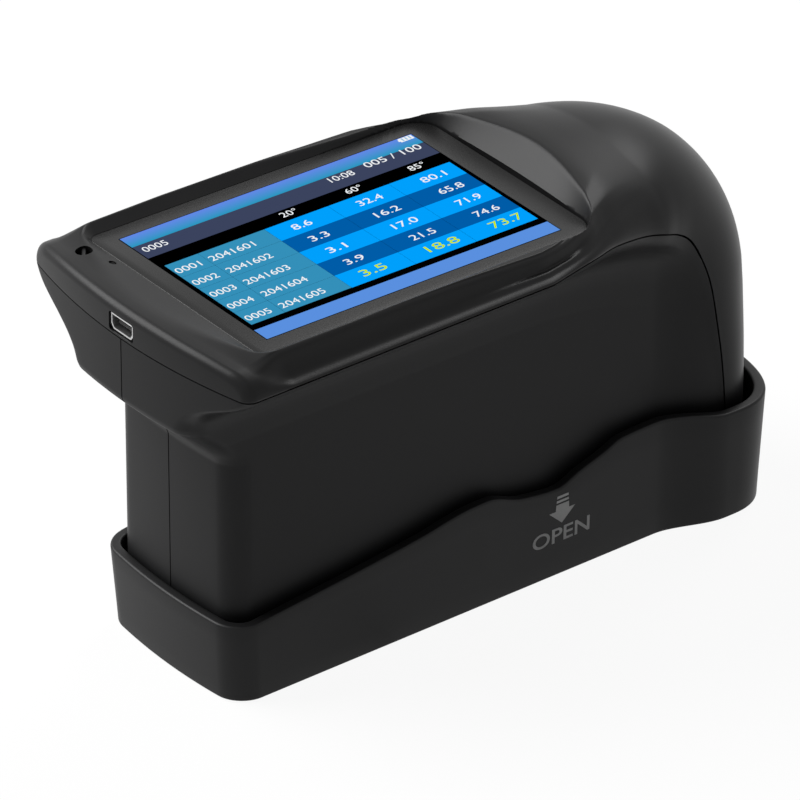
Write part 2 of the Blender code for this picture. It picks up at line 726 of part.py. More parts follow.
def side_point(share, height, inset, front_reach):
    """A point of a side shell's row: share 0 is the back's middle, 1 the back corner's end, 2 the front."""
    x_back = back_x(height) + inset
    depth = SEAM_Z - height
    growth = (GRIP_CORNER_RADIUS - TAIL_CORNER_RADIUS) * smooth_step(0, TAIL_WALL_HEIGHT, depth)
    radius = TAIL_CORNER_RADIUS + growth
    half_width = side_half_width(TAIL_X, height) - inset
    if share <= 1:
        turn = max(0.0, share - 0.5) * 2
        if share < 0.5:
            x = x_back
            y = (half_width - radius) * share * 2
        else:
            angle = turn * pi / 2
            x = x_back + radius * (1 - cos(angle))
            y = half_width - radius * (1 - sin(angle))
        return bowed(x, y), y, height
    start = x_back + radius
    front = seam_x(height - row_fall(height, HEAD_X + HEAD_LENGTH)) + front_reach
    x = start + (front - start) * (share - 1)
    z = height - row_fall(height, x)
    y = side_half_width(x, z) - inset
    return bowed(x, y), y, z


def side_form(inset, reach, back_steps, corner_steps):
    """Half of the side shells' form as a closed solid on the side of +Y."""
    rows = [(height, 0.0) for height in side_rows()]
    if reach:
        rows = [(rows[0][0], reach)] + rows + [(rows[-1][0], -reach)]
    shares = [0.5 * i / back_steps for i in range(back_steps)]
    shares += [0.5 + 0.5 * i / corner_steps for i in range(corner_steps)]
    start = TAIL_X + TAIL_CORNER_RADIUS
    places = [start] + [x for x in STATIONS if x > start]
    places += [seam_at(step)[0] for step in HEAD_STEPS if step <= SEAM_BEND_STEP]
    shares += [1 + (x - start) / (places[-1] - start) for x in places]
    bm = bmesh.new()
    bmesh.ops.create_grid(bm, x_segments=len(shares) - 1, y_segments=len(rows) - 1, size=0.5)
    middle = SEAM_GAP / 2 - reach
    for vert in bm.verts:
        share = shares[round((vert.co.x + 0.5) * (len(shares) - 1))]
        height, lift = rows[round((vert.co.y + 0.5) * (len(rows) - 1))]
        x, y, z = side_point(share, height, inset, reach)
        drop = SEAM_GAP if height == SEAM_Z else 0
        vert.co = (x - SEAM_GAP * max(0, share - 1), y if share else middle, z - drop + lift)
    rim = [edge for edge in bm.edges if edge.is_boundary]
    walls = bmesh.ops.extrude_edge_only(bm, edges=rim)["geom"]
    for vert in [item for item in walls if isinstance(item, bmesh.types.BMVert)]:
        vert.co.y = middle
    bmesh.ops.remove_doubles(bm, verts=bm.verts, dist=0.00001)
    bmesh.ops.holes_fill(bm, edges=[edge for edge in bm.edges if edge.is_boundary], sides=0)
    bmesh.ops.dissolve_degenerate(bm, dist=0.00001, edges=bm.edges)
    return bm


def mirrored(bm, side):
    """The same solid on the side of +Y for 1, or of -Y for -1."""
    if side < 0:
        bmesh.ops.scale(bm, vec=(1, -1, 1), verts=bm.verts)
        bmesh.ops.reverse_faces(bm, faces=bm.faces)
    return bm


def build_side_shell(name, side, parent, finish):
    shell = add_object(name, mirrored(side_form(0, 0, 4, 4), side), LIFT_ORIGIN, parent, finish)
    room = mirrored(side_form(SHELL_WALL, SIDE_ROOM_REACH, 2, 2), side)
    add_boolean(shell, "DIFFERENCE", add_cutter(name + "_room", room))
    return shell


def oblong_prism(x, z, length, width, y0, y1, radius):
    """A flat-ended prism along Y whose outline is a rounded rectangle."""
    outline = rounded_outline(-length / 2, length / 2, width / 2, radius, straight=2)
    return make_loft([[(x + a, y, z + b) for a, b in outline] for y in (y0, y1)])


def button_sizes():
    return (
        ("measure_button", MEASURE_X, MEASURE_LENGTH, MEASURE_WIDTH),
        ("power_button", POWER_X, POWER_LENGTH, POWER_WIDTH),
    )


def build_buttons(parent, shell, finish, board_finish, metal):
    """Two push buttons in the left shell, with the switches and the board behind them."""
    inner = GRIP_HALF_WIDTH - SHELL_WALL
    flange_top = inner - FIT
    flange_foot = flange_top - BUTTON_FLANGE_THICKNESS
    switch_top = flange_foot - BUTTON_TRAVEL - FIT
    switch_foot = switch_top - SWITCH_HEIGHT
    board_top = switch_foot - FIT
    openings = bmesh.new()
    for name, x, length, width in button_sizes():
        corner = width / 2 - 0.0001
        hole = oblong_prism(
            x, BUTTON_Z, length + 2 * FIT, width + 2 * FIT, inner - 0.002, GRIP_HALF_WIDTH + 0.002, corner
        )
        merge_into(openings, hole)
        proud = GRIP_HALF_WIDTH + BUTTON_PROUD
        cap = oblong_prism(x, BUTTON_Z, length, width, flange_top - 0.0005, proud, corner)
        wide = BUTTON_FLANGE * 2
        flange = oblong_prism(x, BUTTON_Z, length + wide, width + wide, flange_foot, flange_top, corner)
        origin = Vector((x - CENTRE_X, GRIP_HALF_WIDTH, BUTTON_Z))
        button = add_object(name, cap, origin, parent, finish)
        add_boolean(button, "UNION", add_cutter(name + "_flange", flange))
        side = SWITCH_SIDE / 2
        switch = make_box(x - side, x + side, switch_foot, switch_top, BUTTON_Z - side, BUTTON_Z + side)
        add_object(name.replace("button", "switch"), switch, LIFT_ORIGIN, parent, metal)
    add_boolean(shell, "DIFFERENCE", add_cutter("button_openings", openings))
    low_x = MEASURE_X - MEASURE_LENGTH / 2 - BUTTON_BOARD_MARGIN
    high_x = POWER_X + POWER_LENGTH / 2 + BUTTON_BOARD_MARGIN
    half = MEASURE_WIDTH / 2 + BUTTON_BOARD_MARGIN
    board_foot = BLOCK_HALF_WIDTH + FIT
    board = make_box(low_x, high_x, board_foot, board_top, BUTTON_Z - half, BUTTON_Z + half)
    add_object("button_board", board, LIFT_ORIGIN, parent, board_finish)


def base_outline(inset):
    """The instrument's foot in plan, inside its shells."""
    back = GRIP_BACK_X + inset
    corner = []
    for i in range(4):
        angle = pi / 2 * i / 4
        y = GRIP_HALF_WIDTH - inset - GRIP_CORNER_RADIUS * (1 - sin(angle))
        corner.append((bowed(back + GRIP_CORNER_RADIUS * (1 - cos(angle)), y), y))
    flare = GRIP_FLARE_END_X - GRIP_FLARE_START_X
    stations = [back + GRIP_CORNER_RADIUS + TAIL_BOW / 2, HEAD_X - 0.045]
    stations += [GRIP_FLARE_START_X + share * flare for share in (0, 0.35, 0.7)]
    side = [(x, grip_half_width(x) - inset) for x in stations]
    nose = []
    for x, y, _ in reversed(nose_section(BODY_FLOOR_Z, inset, TOP_ROOM_REACH)):
        nose.append((x, min(y, grip_half_width(x) - inset)))
    half = [(back, 0.0)] + corner + side + nose
    return half + [(x, -y) for x, y in reversed(half[1:-1])]


def build_base(parent, finish, metal):
    """The base plate with its measuring aperture, and the screws that hold it to the optical block."""
    outline = base_outline(SHELL_WALL + FIT)
    loops = [[(x, y, z) for x, y in outline] for z in (BODY_FLOOR_Z, BASE_TOP_Z)]
    plate = add_object("base_plate", make_loft(loops), LIFT_ORIGIN, parent, finish)
    half = APERTURE_LENGTH / 2
    window = rounded_outline(SPOT_X - half, SPOT_X + half, APERTURE_WIDTH / 2, 0.003)
    aperture = make_loft([[(x, y, z) for x, y in window] for z in (BODY_FLOOR_Z - 0.001, BASE_TOP_Z + 0.001)])
    add_boolean(plate, "DIFFERENCE", add_cutter("measuring_aperture", aperture))
    heads = bmesh.new()
    holes = bmesh.new()
    for number, (x, y) in enumerate(base_screws(), 1):
        top = BODY_FLOOR_Z + BASE_SCREW_LENGTH
        sink = BODY_FLOOR_Z + BASE_THICKNESS / 2
        merge_into(heads, make_rod((x, y, BODY_FLOOR_Z - 0.001), (x, y, sink), SCREW_HEAD_RADIUS + FIT, 16))
        merge_into(holes, make_rod((x, y, BODY_FLOOR_Z - 0.0005), (x, y, top), PILOT_RADIUS, 12))
        piece = make_screw((x, y, top - FIT), (x, y, sink - FIT), BASE_THICKNESS / 2 - FIT)
        add_object(f"base_screw_{number}", piece, LIFT_ORIGIN, parent, metal)
    heads = add_cutter("base_screw_heads", heads)
    pilots = add_cutter("base_screw_pilots", holes)
    add_boolean(plate, "DIFFERENCE", heads)
    add_boolean(plate, "DIFFERENCE", pilots)
    return pilots


def base_screws():
    """Places (x, y) of the screws that go up through the base plate into the optical block."""
    ends = (SPOT_X - BLOCK_RADIUS + BASE_SCREW_INSET, SPOT_X + BLOCK_RADIUS - BASE_SCREW_INSET)
    return [(x, y) for x in ends for y in (-BASE_SCREW_Y, BASE_SCREW_Y)]


def make_screw(tip, seat, head_height):
    """A turned screw that points up, from its tip to the end of its head, which seats at the second point."""
    rings = (
        (tip[2], SCREW_SHANK_RADIUS),
        (seat[2], SCREW_SHANK_RADIUS),
        (seat[2], SCREW_HEAD_RADIUS),
        (seat[2] - head_height, SCREW_HEAD_RADIUS),
    )
    loops = []
    for z, radius in rings:
        loop = []
        for i in range(12):
            angle = 2 * pi * i / 12
            loop.append((tip[0] + radius * cos(angle), tip[1] + radius * sin(angle), z))
        loops.append(loop)
    return make_loft(loops)


def beam_point(name, side, distance):
    """A point on a beam's line, on the lamp's side for -1 and on the detector's for 1."""
    angle = BEAM_ANGLES[name]
    return Vector((SPOT_X + side * sin(angle) * distance, 0, BODY_FLOOR_Z + cos(angle) * distance))


def build_optics(parent, screw_holes, finish, glass, lamp, metal):
    """The optical block with its six channels, and the lamps, lenses and detectors in them."""
    arc = []
    low = BLOCK_FLOOR_Z - BODY_FLOOR_Z
    start = atan2(low, BLOCK_RADIUS)
    for i in range(19):
        angle = start + (pi - 2 * start) * i / 18
        arc.append((SPOT_X + BLOCK_RADIUS * cos(angle), BODY_FLOOR_Z + BLOCK_RADIUS * sin(angle)))
    loops = [[(x, y, max(z, BLOCK_FLOOR_Z)) for x, z in arc] for y in (-BLOCK_HALF_WIDTH, BLOCK_HALF_WIDTH)]
    block = add_object("optical_block", make_loft(loops), LIFT_ORIGIN, parent, finish)
    add_boolean(block, "DIFFERENCE", screw_holes)
    for name in BEAM_ANGLES:
        for side in (-1, 1):
            radius = BEAM_RADIUS[name]
            far = beam_point(name, side, BLOCK_RADIUS + 0.004)
            channel = make_rod(beam_point(name, side, 0), far, radius, 16, pi / 16)
            label = "lamp" if side < 0 else "detector"
            add_boolean(block, "DIFFERENCE", add_cutter(f"{label}_channel_{name}", channel))
            end = BLOCK_RADIUS
            length = EMITTER_LENGTH if side < 0 else DETECTOR_LENGTH
            body = make_rod(
                beam_point(name, side, end - length), beam_point(name, side, end), radius - FIT, 16, pi / 16
            )
            add_object(f"{label}_{name}", body, LIFT_ORIGIN, parent, lamp if side < 0 else metal)
            if name != "85":
                near = beam_point(name, side, LENS_DISTANCE)
                far = beam_point(name, side, LENS_DISTANCE + LENS_THICKNESS)
                lens = make_rod(near, far, radius - FIT, 16, pi / 16)
                add_object(f"{label}_lens_{name}", lens, LIFT_ORIGIN, parent, glass)


def build_display(parent, glass, panel, metal):
    half = GLASS_HALF_WIDTH
    outline = rounded_outline(GLASS_BACK_X, GLASS_FRONT_X, half, GLASS_CORNER_RADIUS, steps=5)
    loops = [[(x, y, glass_z(x) - depth) for x, y in outline] for depth in (GLASS_THICKNESS, 0)]
    add_object("display_glass", make_loft(loops), LIFT_ORIGIN, parent, glass)
    top = ROOF_DEPTH + FIT
    back = LCD_BACK_X - LCD_BORDER
    front = LCD_FRONT_X + LCD_BORDER
    side = LCD_ACTIVE_WIDTH / 2 + LCD_BORDER
    add_object("lcd_module", flat_box(back, front, side, top, LCD_THICKNESS), LIFT_ORIGIN, parent, panel)
    low = top + LCD_THICKNESS + FIT
    rim = BRACKET_LIP
    depth = top + 0.001
    bracket = flat_box(back - rim, front + rim, side + rim, depth, low - depth + BRACKET_THICKNESS)
    tray = add_object("lcd_bracket", bracket, LIFT_ORIGIN, parent, metal)
    room = flat_box(back - FIT, front + FIT, side + FIT, top - 0.001, low - top + 0.001)
    add_boolean(tray, "DIFFERENCE", add_cutter("lcd_bracket_room", room))


def build_boards(parent, board_finish, metal, plastic):
    deep = MAIN_BOARD_DEPTH
    board = flat_box(MAIN_BOARD_BACK_X, MAIN_BOARD_FRONT_X, MAIN_BOARD_HALF_WIDTH, deep, BOARD_THICKNESS)
    main_board = add_object("main_board", board, LIFT_ORIGIN, parent, board_finish)
    holes = bmesh.new()
    for number, (x, y) in enumerate(main_board_posts(), 1):
        top = glass_z(x) - deep
        seat = top - BOARD_THICKNESS - FIT
        merge_into(holes, make_rod((x, y, seat - 0.001), (x, y, top + 0.001), PILOT_RADIUS, 12))
        piece = make_screw((x, y, top - 0.001 + BOARD_SCREW_LENGTH - FIT), (x, y, seat), SCREW_HEAD_HEIGHT)
        add_object(f"board_screw_{number}", piece, LIFT_ORIGIN, parent, metal)
    add_boolean(main_board, "DIFFERENCE", add_cutter("main_board_holes", holes))
    back = TAIL_X + SHELL_WALL + TAIL_BOARD_GAP
    front = back + TAIL_BOARD_LENGTH
    tail_top = TAIL_BOARD_Z + BOARD_THICKNESS
    half = TAIL_BOARD_HALF_WIDTH
    tail = make_box(back + 0.0012, front, -half, half, TAIL_BOARD_Z, tail_top)
    add_object("interface_board", tail, LIFT_ORIGIN, parent, board_finish)
    foot = glass_z(MAIN_BOARD_BACK_X) - deep + FIT
    half = CONNECTOR_HALF_WIDTH
    header = make_box(MAIN_BOARD_BACK_X + 0.0005, front - 0.0005, -half, half, foot, TAIL_BOARD_Z - FIT)
    add_object("board_connector", header, LIFT_ORIGIN, parent, plastic)
    top = glass_z(BUZZER_X) - deep - BOARD_THICKNESS - FIT
    buzzer = make_rod((BUZZER_X, 0, top - BUZZER_HEIGHT), (BUZZER_X, 0, top), BUZZER_RADIUS, 20)
    add_object("buzzer", buzzer, LIFT_ORIGIN, parent, plastic)


def socket_outline(half_width, height, inset):
    """The socket's outline in end view: a rectangle whose lower corners are cut in."""
    side = half_width - inset
    top = height / 2 - inset
    waist = -height / 2 + 0.0012
    low = -height / 2 + inset
    narrow = side - 0.0008
    return [(-side, top), (-side, waist), (-narrow, low), (narrow, low), (side, waist), (side, top)]


def build_socket(parent, metal, plastic, clear):
    """The mini socket in the tail, its contact tongue, and the light pipe beside it."""
    back = TAIL_X + USB_RECESS
    front = back + USB_DEPTH
    outer = socket_outline(USB_WIDTH / 2, USB_HEIGHT, 0)
    loops = [[(x, y, USB_Z + z) for y, z in outer] for x in (back, front)]
    shell = add_object("usb_socket", make_loft(loops), LIFT_ORIGIN, parent, metal)
    inner = socket_outline(USB_WIDTH / 2, USB_HEIGHT, USB_WALL)
    room = make_loft([[(x, y, USB_Z + z) for y, z in inner] for x in (back - 0.001, front - USB_WALL)])
    add_boolean(shell, "DIFFERENCE", add_cutter("usb_room", room))
    half = USB_WIDTH / 2 - USB_WALL - 0.0012
    low = USB_Z - USB_TONGUE_HEIGHT / 2
    tongue = make_box(back + 0.0008, front - USB_WALL - FIT, -half, half, low, low + USB_TONGUE_HEIGHT)
    add_object("usb_tongue", tongue, LIFT_ORIGIN, parent, plastic)
    foot = TAIL_BOARD_Z + BOARD_THICKNESS + FIT
    top = glass_z(LIGHT_X) + 0.0004
    pipe = make_rod((LIGHT_X, LIGHT_Y, foot), (LIGHT_X, LIGHT_Y, top), LIGHT_RADIUS - FIT / 2, 10)
    add_object("light_pipe", pipe, LIFT_ORIGIN, parent, clear)


def build_battery(parent, wrap, plastic):
    """The battery cell upright in its cradle at the back of the grip."""
    radius = CELL_RADIUS + FIT
    outside = radius + CRADLE_WALL
    x = GRIP_BACK_X + SHELL_WALL + FIT + outside + TAIL_BOW * (outside / DECK_HALF_WIDTH) ** 2
    foot = BASE_TOP_Z + FIT
    cradle = add_object(
        "battery_cradle",
        make_box(x - outside, x + outside, -outside, outside, foot, foot + CRADLE_HEIGHT),
        LIFT_ORIGIN,
        parent,
        plastic,
    )
    floor = foot + CRADLE_WALL
    room = make_rod((x, 0, floor), (x, 0, foot + CRADLE_HEIGHT + 0.001), radius, 32)
    add_boolean(cradle, "DIFFERENCE", add_cutter("battery_room", room))
    cell = make_rod((x, 0, floor + FIT), (x, 0, floor + FIT + CELL_LENGTH), CELL_RADIUS, 32)
    add_object("battery_cell", cell, LIFT_ORIGIN, parent, wrap)


def cover_outline(inset, rise):
    """The cover in plan, inset from its outer face, at a share of its height."""
    flare_start = GRIP_FLARE_START_X - COVER_FLARE_LEAD
    flare_end = GRIP_FLARE_END_X - COVER_FLARE_LEAD
    half = GRIP_HALF_WIDTH + COVER_SIDE_GAP + COVER_WALL + COVER_DRAFT * rise - inset
    lean = COVER_BACK_DRAFT * (1 - rise) if inset < COVER_WALL else 0.0
    back = GRIP_BACK_X - COVER_BACK_GAP - COVER_WALL + lean + inset
    front = COVER_FRONT_X + COVER_FRONT_DRAFT * rise - inset
    radius = max(0.001, COVER_CORNER_RADIUS - inset)
    outline = []
    for i in range(3):
        y = (half - radius) * i / 3
        outline.append((bowed(back, y), y))
    for i in range(6):
        angle = pi / 2 * i / 5
        y = half - radius * (1 - sin(angle))
        outline.append((bowed(back + radius * (1 - cos(angle)), y), y))
    rests = (0.085, 0.071, 0.057, 0.047, 0.042, 0.035, 0.029, 0.023, 0.017, 0.011, 0.005)
    places = [HEAD_X - rest for rest in rests]
    places += [flare_start + way for way in (0, 0.003, 0.006, 0.009, 0.012)]
    for x in places + [flare_end]:
        outline.append((x, half + COVER_FLARE * smooth_step(flare_start, flare_end, x)))
    wide = half + COVER_FLARE
    length = front - flare_end - 0.001
    for i in range(1, 10):
        angle = pi / 2 * i / 9
        share = cos(angle) ** (2 / COVER_NOSE_POWER)
        depth = sin(angle) ** (2 / COVER_NOSE_POWER)
        outline.append((flare_end + 0.001 + length * depth, wide * share if i < 9 else 0.0))
    return outline + [(x, -y) for x, y in reversed(outline[1:-1])]


def rim_z(x):
    return RIM_BACK_Z + curve_through(RIM_LINE, x)


def build_cover(finish, tile_finish, pad_finish):
    """The cup that the instrument stands in, with its wavy rim, and the tile on its floor."""
    edge = COVER_EDGE
    loops = []
    base = rim_z(HEAD_X)
    for inset, z, follow in (
        (edge, 0.0, 0),
        (edge * 0.3, edge * 0.3, 0),
        (0.0, edge, 0),
        (0.0, -edge, 1),
        (edge * 0.3, -edge * 0.3, 1),
        (edge, 0.0, 1),
        (COVER_WALL - edge, 0.0, 1),
        (COVER_WALL - edge * 0.3, -edge * 0.3, 1),
        (COVER_WALL, -edge, 1),
        (COVER_WALL, BODY_FLOOR_Z - FIT, 0),
        (COVER_WALL + LEDGE_WIDTH, BODY_FLOOR_Z - FIT, 0),
        (COVER_WALL + LEDGE_WIDTH, COVER_FLOOR, 0),
    ):
        outline = cover_outline(inset, 1 if follow else min(1.0, z / base))
        loops.append([(x, y, z + follow * rim_z(x)) for x, y in outline])
    cover = add_object("calibration_cover", make_loft(loops), Vector((0, 0, 0)), None, finish)
    top = BODY_FLOOR_Z - FIT
    tile_foot = top - TILE_THICKNESS
    half = TILE_LENGTH / 2
    side = TILE_WIDTH / 2
    wall = FIT + TILE_FRAME_WALL
    frame = make_box(
        SPOT_X - half - wall,
        SPOT_X + half + wall,
        -side - wall,
        side + wall,
        COVER_FLOOR - 0.0005,
        top - TILE_FRAME_DROP,
    )
    ring = add_cutter("tile_frame", frame)
    room = make_box(SPOT_X - half - FIT, SPOT_X + half + FIT, -side - FIT, side + FIT, 0, top + 0.001)
    add_boolean(ring, "DIFFERENCE", add_cutter("tile_room", room))
    add_boolean(cover, "UNION", ring)
    pad = make_box(SPOT_X - half, SPOT_X + half, -side, side, COVER_FLOOR + FIT, tile_foot - FIT)
    add_object("tile_pad", pad, Vector((0, 0, 0)), None, pad_finish)
    tile = make_box(SPOT_X - half, SPOT_X + half, -side, side, tile_foot, top)
    add_object("calibration_tile", tile, Vector((0, 0, 0)), None, tile_finish)
    return cover


def build_gloss_meter():
    for old in list(bpy.data.objects):
        bpy.data.objects.remove(old, do_unlink=True)
    housing = material("satin_black_plastic", (0.028, 0.028, 0.030), 0.42)
    side = material("soft_black_plastic", (0.020, 0.020, 0.021), 0.50)
    cover = material("cover_plastic", (0.018, 0.018, 0.019), 0.48)
    inner = material("inner_black_plastic", (0.012, 0.012, 0.012), 0.65)
    glass = material("display_glass", (0.050, 0.050, 0.052), 0.15)
    panel = material("display_panel", (0.08, 0.28, 0.55), 0.30)
    board = material("circuit_board", (0.02, 0.16, 0.07), 0.50)
    metal = material("plated_steel", (0.65, 0.65, 0.66), 0.30, 1.0)
    lens = material("clear_glass", (0.80, 0.85, 0.88), 0.05)
    lamp = material("lamp_resin", (0.90, 0.88, 0.80), 0.20)
    wrap = material("battery_wrap", (0.10, 0.25, 0.55), 0.35)
    tile = material("black_tile_glass", (0.006, 0.006, 0.007), 0.04)
    foam = material("grey_foam", (0.20, 0.20, 0.21), 0.95)
    lift = bpy.data.objects.new("instrument_lift", None)
    lift.location = LIFT_ORIGIN
    bpy.context.collection.objects.link(lift)
    build_top_housing(lift, housing)
    left = build_side_shell("left_side_shell", 1, lift, side)
    build_side_shell("right_side_shell", -1, lift, side)
    build_display(lift, glass, panel, metal)
    build_boards(lift, board, metal, inner)
    build_socket(lift, metal, inner, lens)
    build_battery(lift, wrap, inner)
    screw_holes = build_base(lift, side, metal)
    build_optics(lift, screw_holes, inner, lens, lamp, metal)
    build_buttons(lift, left, side, board, metal)
    build_cover(cover, tile, foam)


build_gloss_meter()
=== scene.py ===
"""Looks for the handheld gloss meter in its calibration cover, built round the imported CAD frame.

The moulded shells are made again here from the same lines as the solids, with finer sections, rounded
edges and soft crests, and the display gets its lit picture. Stations along X are written from the same
start as in the CAD, and every finished piece is then moved by CENTRE_X so that it lies on its solid.
"""

import json
from math import atan2, cos, pi, radians, sin, tan

import bmesh
import bpy
import numpy as np
from mathutils import Matrix, Vector

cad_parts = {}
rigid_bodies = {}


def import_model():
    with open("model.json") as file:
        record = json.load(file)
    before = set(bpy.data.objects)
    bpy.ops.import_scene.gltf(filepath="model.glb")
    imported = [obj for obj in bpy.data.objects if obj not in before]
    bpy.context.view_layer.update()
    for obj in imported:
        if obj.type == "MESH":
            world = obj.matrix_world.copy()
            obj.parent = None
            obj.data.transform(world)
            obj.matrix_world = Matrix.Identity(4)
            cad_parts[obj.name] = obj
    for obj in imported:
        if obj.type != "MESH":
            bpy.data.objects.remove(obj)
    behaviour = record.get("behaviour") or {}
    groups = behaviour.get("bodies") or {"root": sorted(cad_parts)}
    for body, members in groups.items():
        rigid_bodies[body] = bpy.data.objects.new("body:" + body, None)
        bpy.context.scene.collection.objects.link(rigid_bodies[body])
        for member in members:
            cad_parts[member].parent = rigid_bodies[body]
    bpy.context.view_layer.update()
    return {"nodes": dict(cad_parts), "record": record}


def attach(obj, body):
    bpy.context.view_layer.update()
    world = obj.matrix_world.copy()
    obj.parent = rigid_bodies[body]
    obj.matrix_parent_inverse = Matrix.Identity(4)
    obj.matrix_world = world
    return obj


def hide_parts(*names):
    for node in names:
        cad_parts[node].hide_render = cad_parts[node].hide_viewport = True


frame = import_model()

# Fits
SEAM_GAP = 0.0003
FIT = 0.0003
SHELL_WALL = 0.002

# Deck
TAIL_X = -0.0727
TAIL_BOW = 0.0046
TAIL_BOW_END_X = TAIL_X + 0.0377
DECK_HALF_WIDTH = 0.036
DECK_CREST_Z = 0.0871
SEAM_Z = 0.0802
SHOULDER_WIDTH = 0.0018
LIP_WIDTH = 0.0032
RIDGE_RADIUS = 0.002
TAIL_CORNER_RADIUS = 0.0022

# Display
LCD_ACTIVE_LENGTH = 0.07344
LCD_ACTIVE_WIDTH = 0.04896
LCD_BORDER = 0.0018
GLASS_BACK_X = TAIL_X + 0.0127
LCD_BACK_X = GLASS_BACK_X + 0.005
LCD_FRONT_X = LCD_BACK_X + LCD_ACTIVE_LENGTH
GLASS_FRONT_X = LCD_FRONT_X + 0.00606
GLASS_HALF_WIDTH = 0.0286
GLASS_THICKNESS = 0.0012
GLASS_CORNER_RADIUS = 0.0055
GLASS_BACK_RADIUS = 0.0022
GLASS_BACK_GAP = 0.00006
GLASS_BACK_Z = 0.0852
GLASS_TILT = radians(1.0)
RECESS_RAMP_SLOPE = 5.0
RECESS_BACK_SLOPE = 0.3
FACET_SLOPE = 1.08
FACET_EDGE_SLOPE = 0.05
FACET_FOOT_BOW = 0.0014
RECESS_REACH = 0.006
LEDGE_THICKNESS = 0.0012

# Head
HEAD_X = GLASS_FRONT_X + 0.0205
HEAD_Z = 0.050
HEAD_LENGTH = 0.0326
HEAD_RISE = 0.0380
HEAD_POWER = 2.12
HEAD_START_X = HEAD_X - 0.0356
NOSE_HALF_WIDTH = 0.0232
NOSE_TUCK = 0.0026
NOSE_TUCK_POWER = 2.4
DOME_WIDTH_POWER = 1.85
DOME_DEPTH_POWER = 2.45

# Grip
GRIP_BACK_X = TAIL_X + 0.0112
GRIP_HALF_WIDTH = 0.0195
GRIP_CORNER_RADIUS = 0.005
GRIP_FLARE_START_X = HEAD_X + 0.002
GRIP_FLARE_END_X = HEAD_X + 0.018
PANEL_INSET = 0.0004
TAIL_WALL_HEIGHT = 0.0148
UNDERSIDE_DROP = 0.0105
BODY_FLOOR_Z = 0.0068

# Tail fittings
TAIL_BOARD_TOP_Z = 0.0806
USB_WIDTH = 0.0074
USB_HEIGHT = 0.0036
USB_DEPTH = 0.0085
USB_WALL = 0.0004
USB_RECESS = 0.0004
USB_Z = TAIL_BOARD_TOP_Z + FIT + USB_HEIGHT / 2
LIGHT_X = GLASS_BACK_X - 0.0022
LIGHT_Y = 0.017
LIGHT_RADIUS = 0.00065
EYE_X = GLASS_BACK_X - 0.0045
EYE_Y = 0.0235
EYE_RADIUS = 0.0018
EYE_DEPTH = 0.0009
EYE_ROD_RADIUS = 0.0005
EYE_ROD_LIFT = 0.0002

# Nose rib
RIB_THICKNESS = 0.0012
RIB_REACH = 0.0015
RIB_SINK = 0.0003
RIB_LOW_Z = 0.014
RIB_HIGH_Z = 0.064

# Buttons
BUTTON_Z = 0.040
BUTTON_PROUD = 0.0008
BUTTON_FLANGE = 0.0012
BUTTON_FLANGE_THICKNESS = 0.0012
BUTTONS = (
    ("measure_button", "measure_key", HEAD_X - 0.051, 0.022, 0.010),
    ("power_button", "power_key", HEAD_X - 0.027, 0.010, 0.010),
)

# Cover
COVER_WALL = 0.0024
COVER_SIDE_GAP = 0.0004
COVER_DRAFT = 0.0007
COVER_FRONT_X = HEAD_X + 0.0328
COVER_FRONT_DRAFT = 0.0019
COVER_BACK_DRAFT = 0.0012
COVER_FLARE = 0.0041
COVER_FLARE_LEAD = 0.001
COVER_NOSE_POWER = 2.8
COVER_CORNER_RADIUS = 0.006
COVER_FLOOR = 0.0022
COVER_EDGE = 0.0006
COVER_BACK_GAP = 0.0003
RIM_BACK_Z = 0.0185
LEDGE_WIDTH = 0.0026
SPOT_X = HEAD_X - 0.041
TILE_LENGTH = 0.054
TILE_WIDTH = 0.020
TILE_FRAME_WALL = 0.0014
TILE_FRAME_DROP = 0.0008

# Working places
COVER_FRONT_TOP_X = COVER_FRONT_X + COVER_FRONT_DRAFT
CENTRE_X = (TAIL_X + COVER_FRONT_TOP_X) / 2
POCKET_DEPTH = GLASS_THICKNESS + FIT
ROOF_DEPTH = POCKET_DEPTH + LEDGE_THICKNESS
TOP_ROOM_REACH = 0.004
SIDE_ROOM_REACH = 0.006

SEAM_LINE = (
    (TAIL_X, SEAM_Z),
    (HEAD_X - 0.035, SEAM_Z),
    (HEAD_X - 0.020, SEAM_Z - 0.0007),
    (HEAD_X - 0.010, SEAM_Z - 0.0027),
    (HEAD_X - 0.002, SEAM_Z - 0.0052),
    (HEAD_X + 0.004, SEAM_Z - 0.0080),
    (HEAD_X + 0.0080, HEAD_Z + 0.0190),
    (HEAD_X + 0.0114, HEAD_Z + 0.0134),
    (HEAD_X + 0.0143, HEAD_Z + 0.0058),
    (HEAD_X + 0.0162, HEAD_Z - 0.0036),
    (HEAD_X + 0.0178, HEAD_Z - 0.0138),
    (HEAD_X + 0.0187, HEAD_Z - 0.0238),
    (HEAD_X + 0.0193, BODY_FLOOR_Z),
)
SEAM_BEND_STEP = 7
SEAM_NOSE_STEP = 8.3

SEAM_WIDTH_SHARES = (
    (HEAD_X - 0.037, 1.0),
    (HEAD_X - 0.025, 0.77),
    (HEAD_X - 0.016, 0.53),
    (HEAD_X - 0.005, 0.30),
    (HEAD_X + 0.000, 0.24),
    (HEAD_X + 0.004, 0.14),
    (HEAD_X + 0.008, 0.06),
    (HEAD_X + 0.012, 0.02),
    (HEAD_X + 0.017, 0.0),
)

LIP_SWEEP = (
    (0.0, 1.0),
    (0.0015, 0.93),
    (0.0030, 0.82),
    (0.0047, 0.62),
    (0.0062, 0.44),
    (0.0088, 0.22),
    (0.0117, 0.09),
    (0.0150, 0.03),
    (0.0200, 0.0),
)

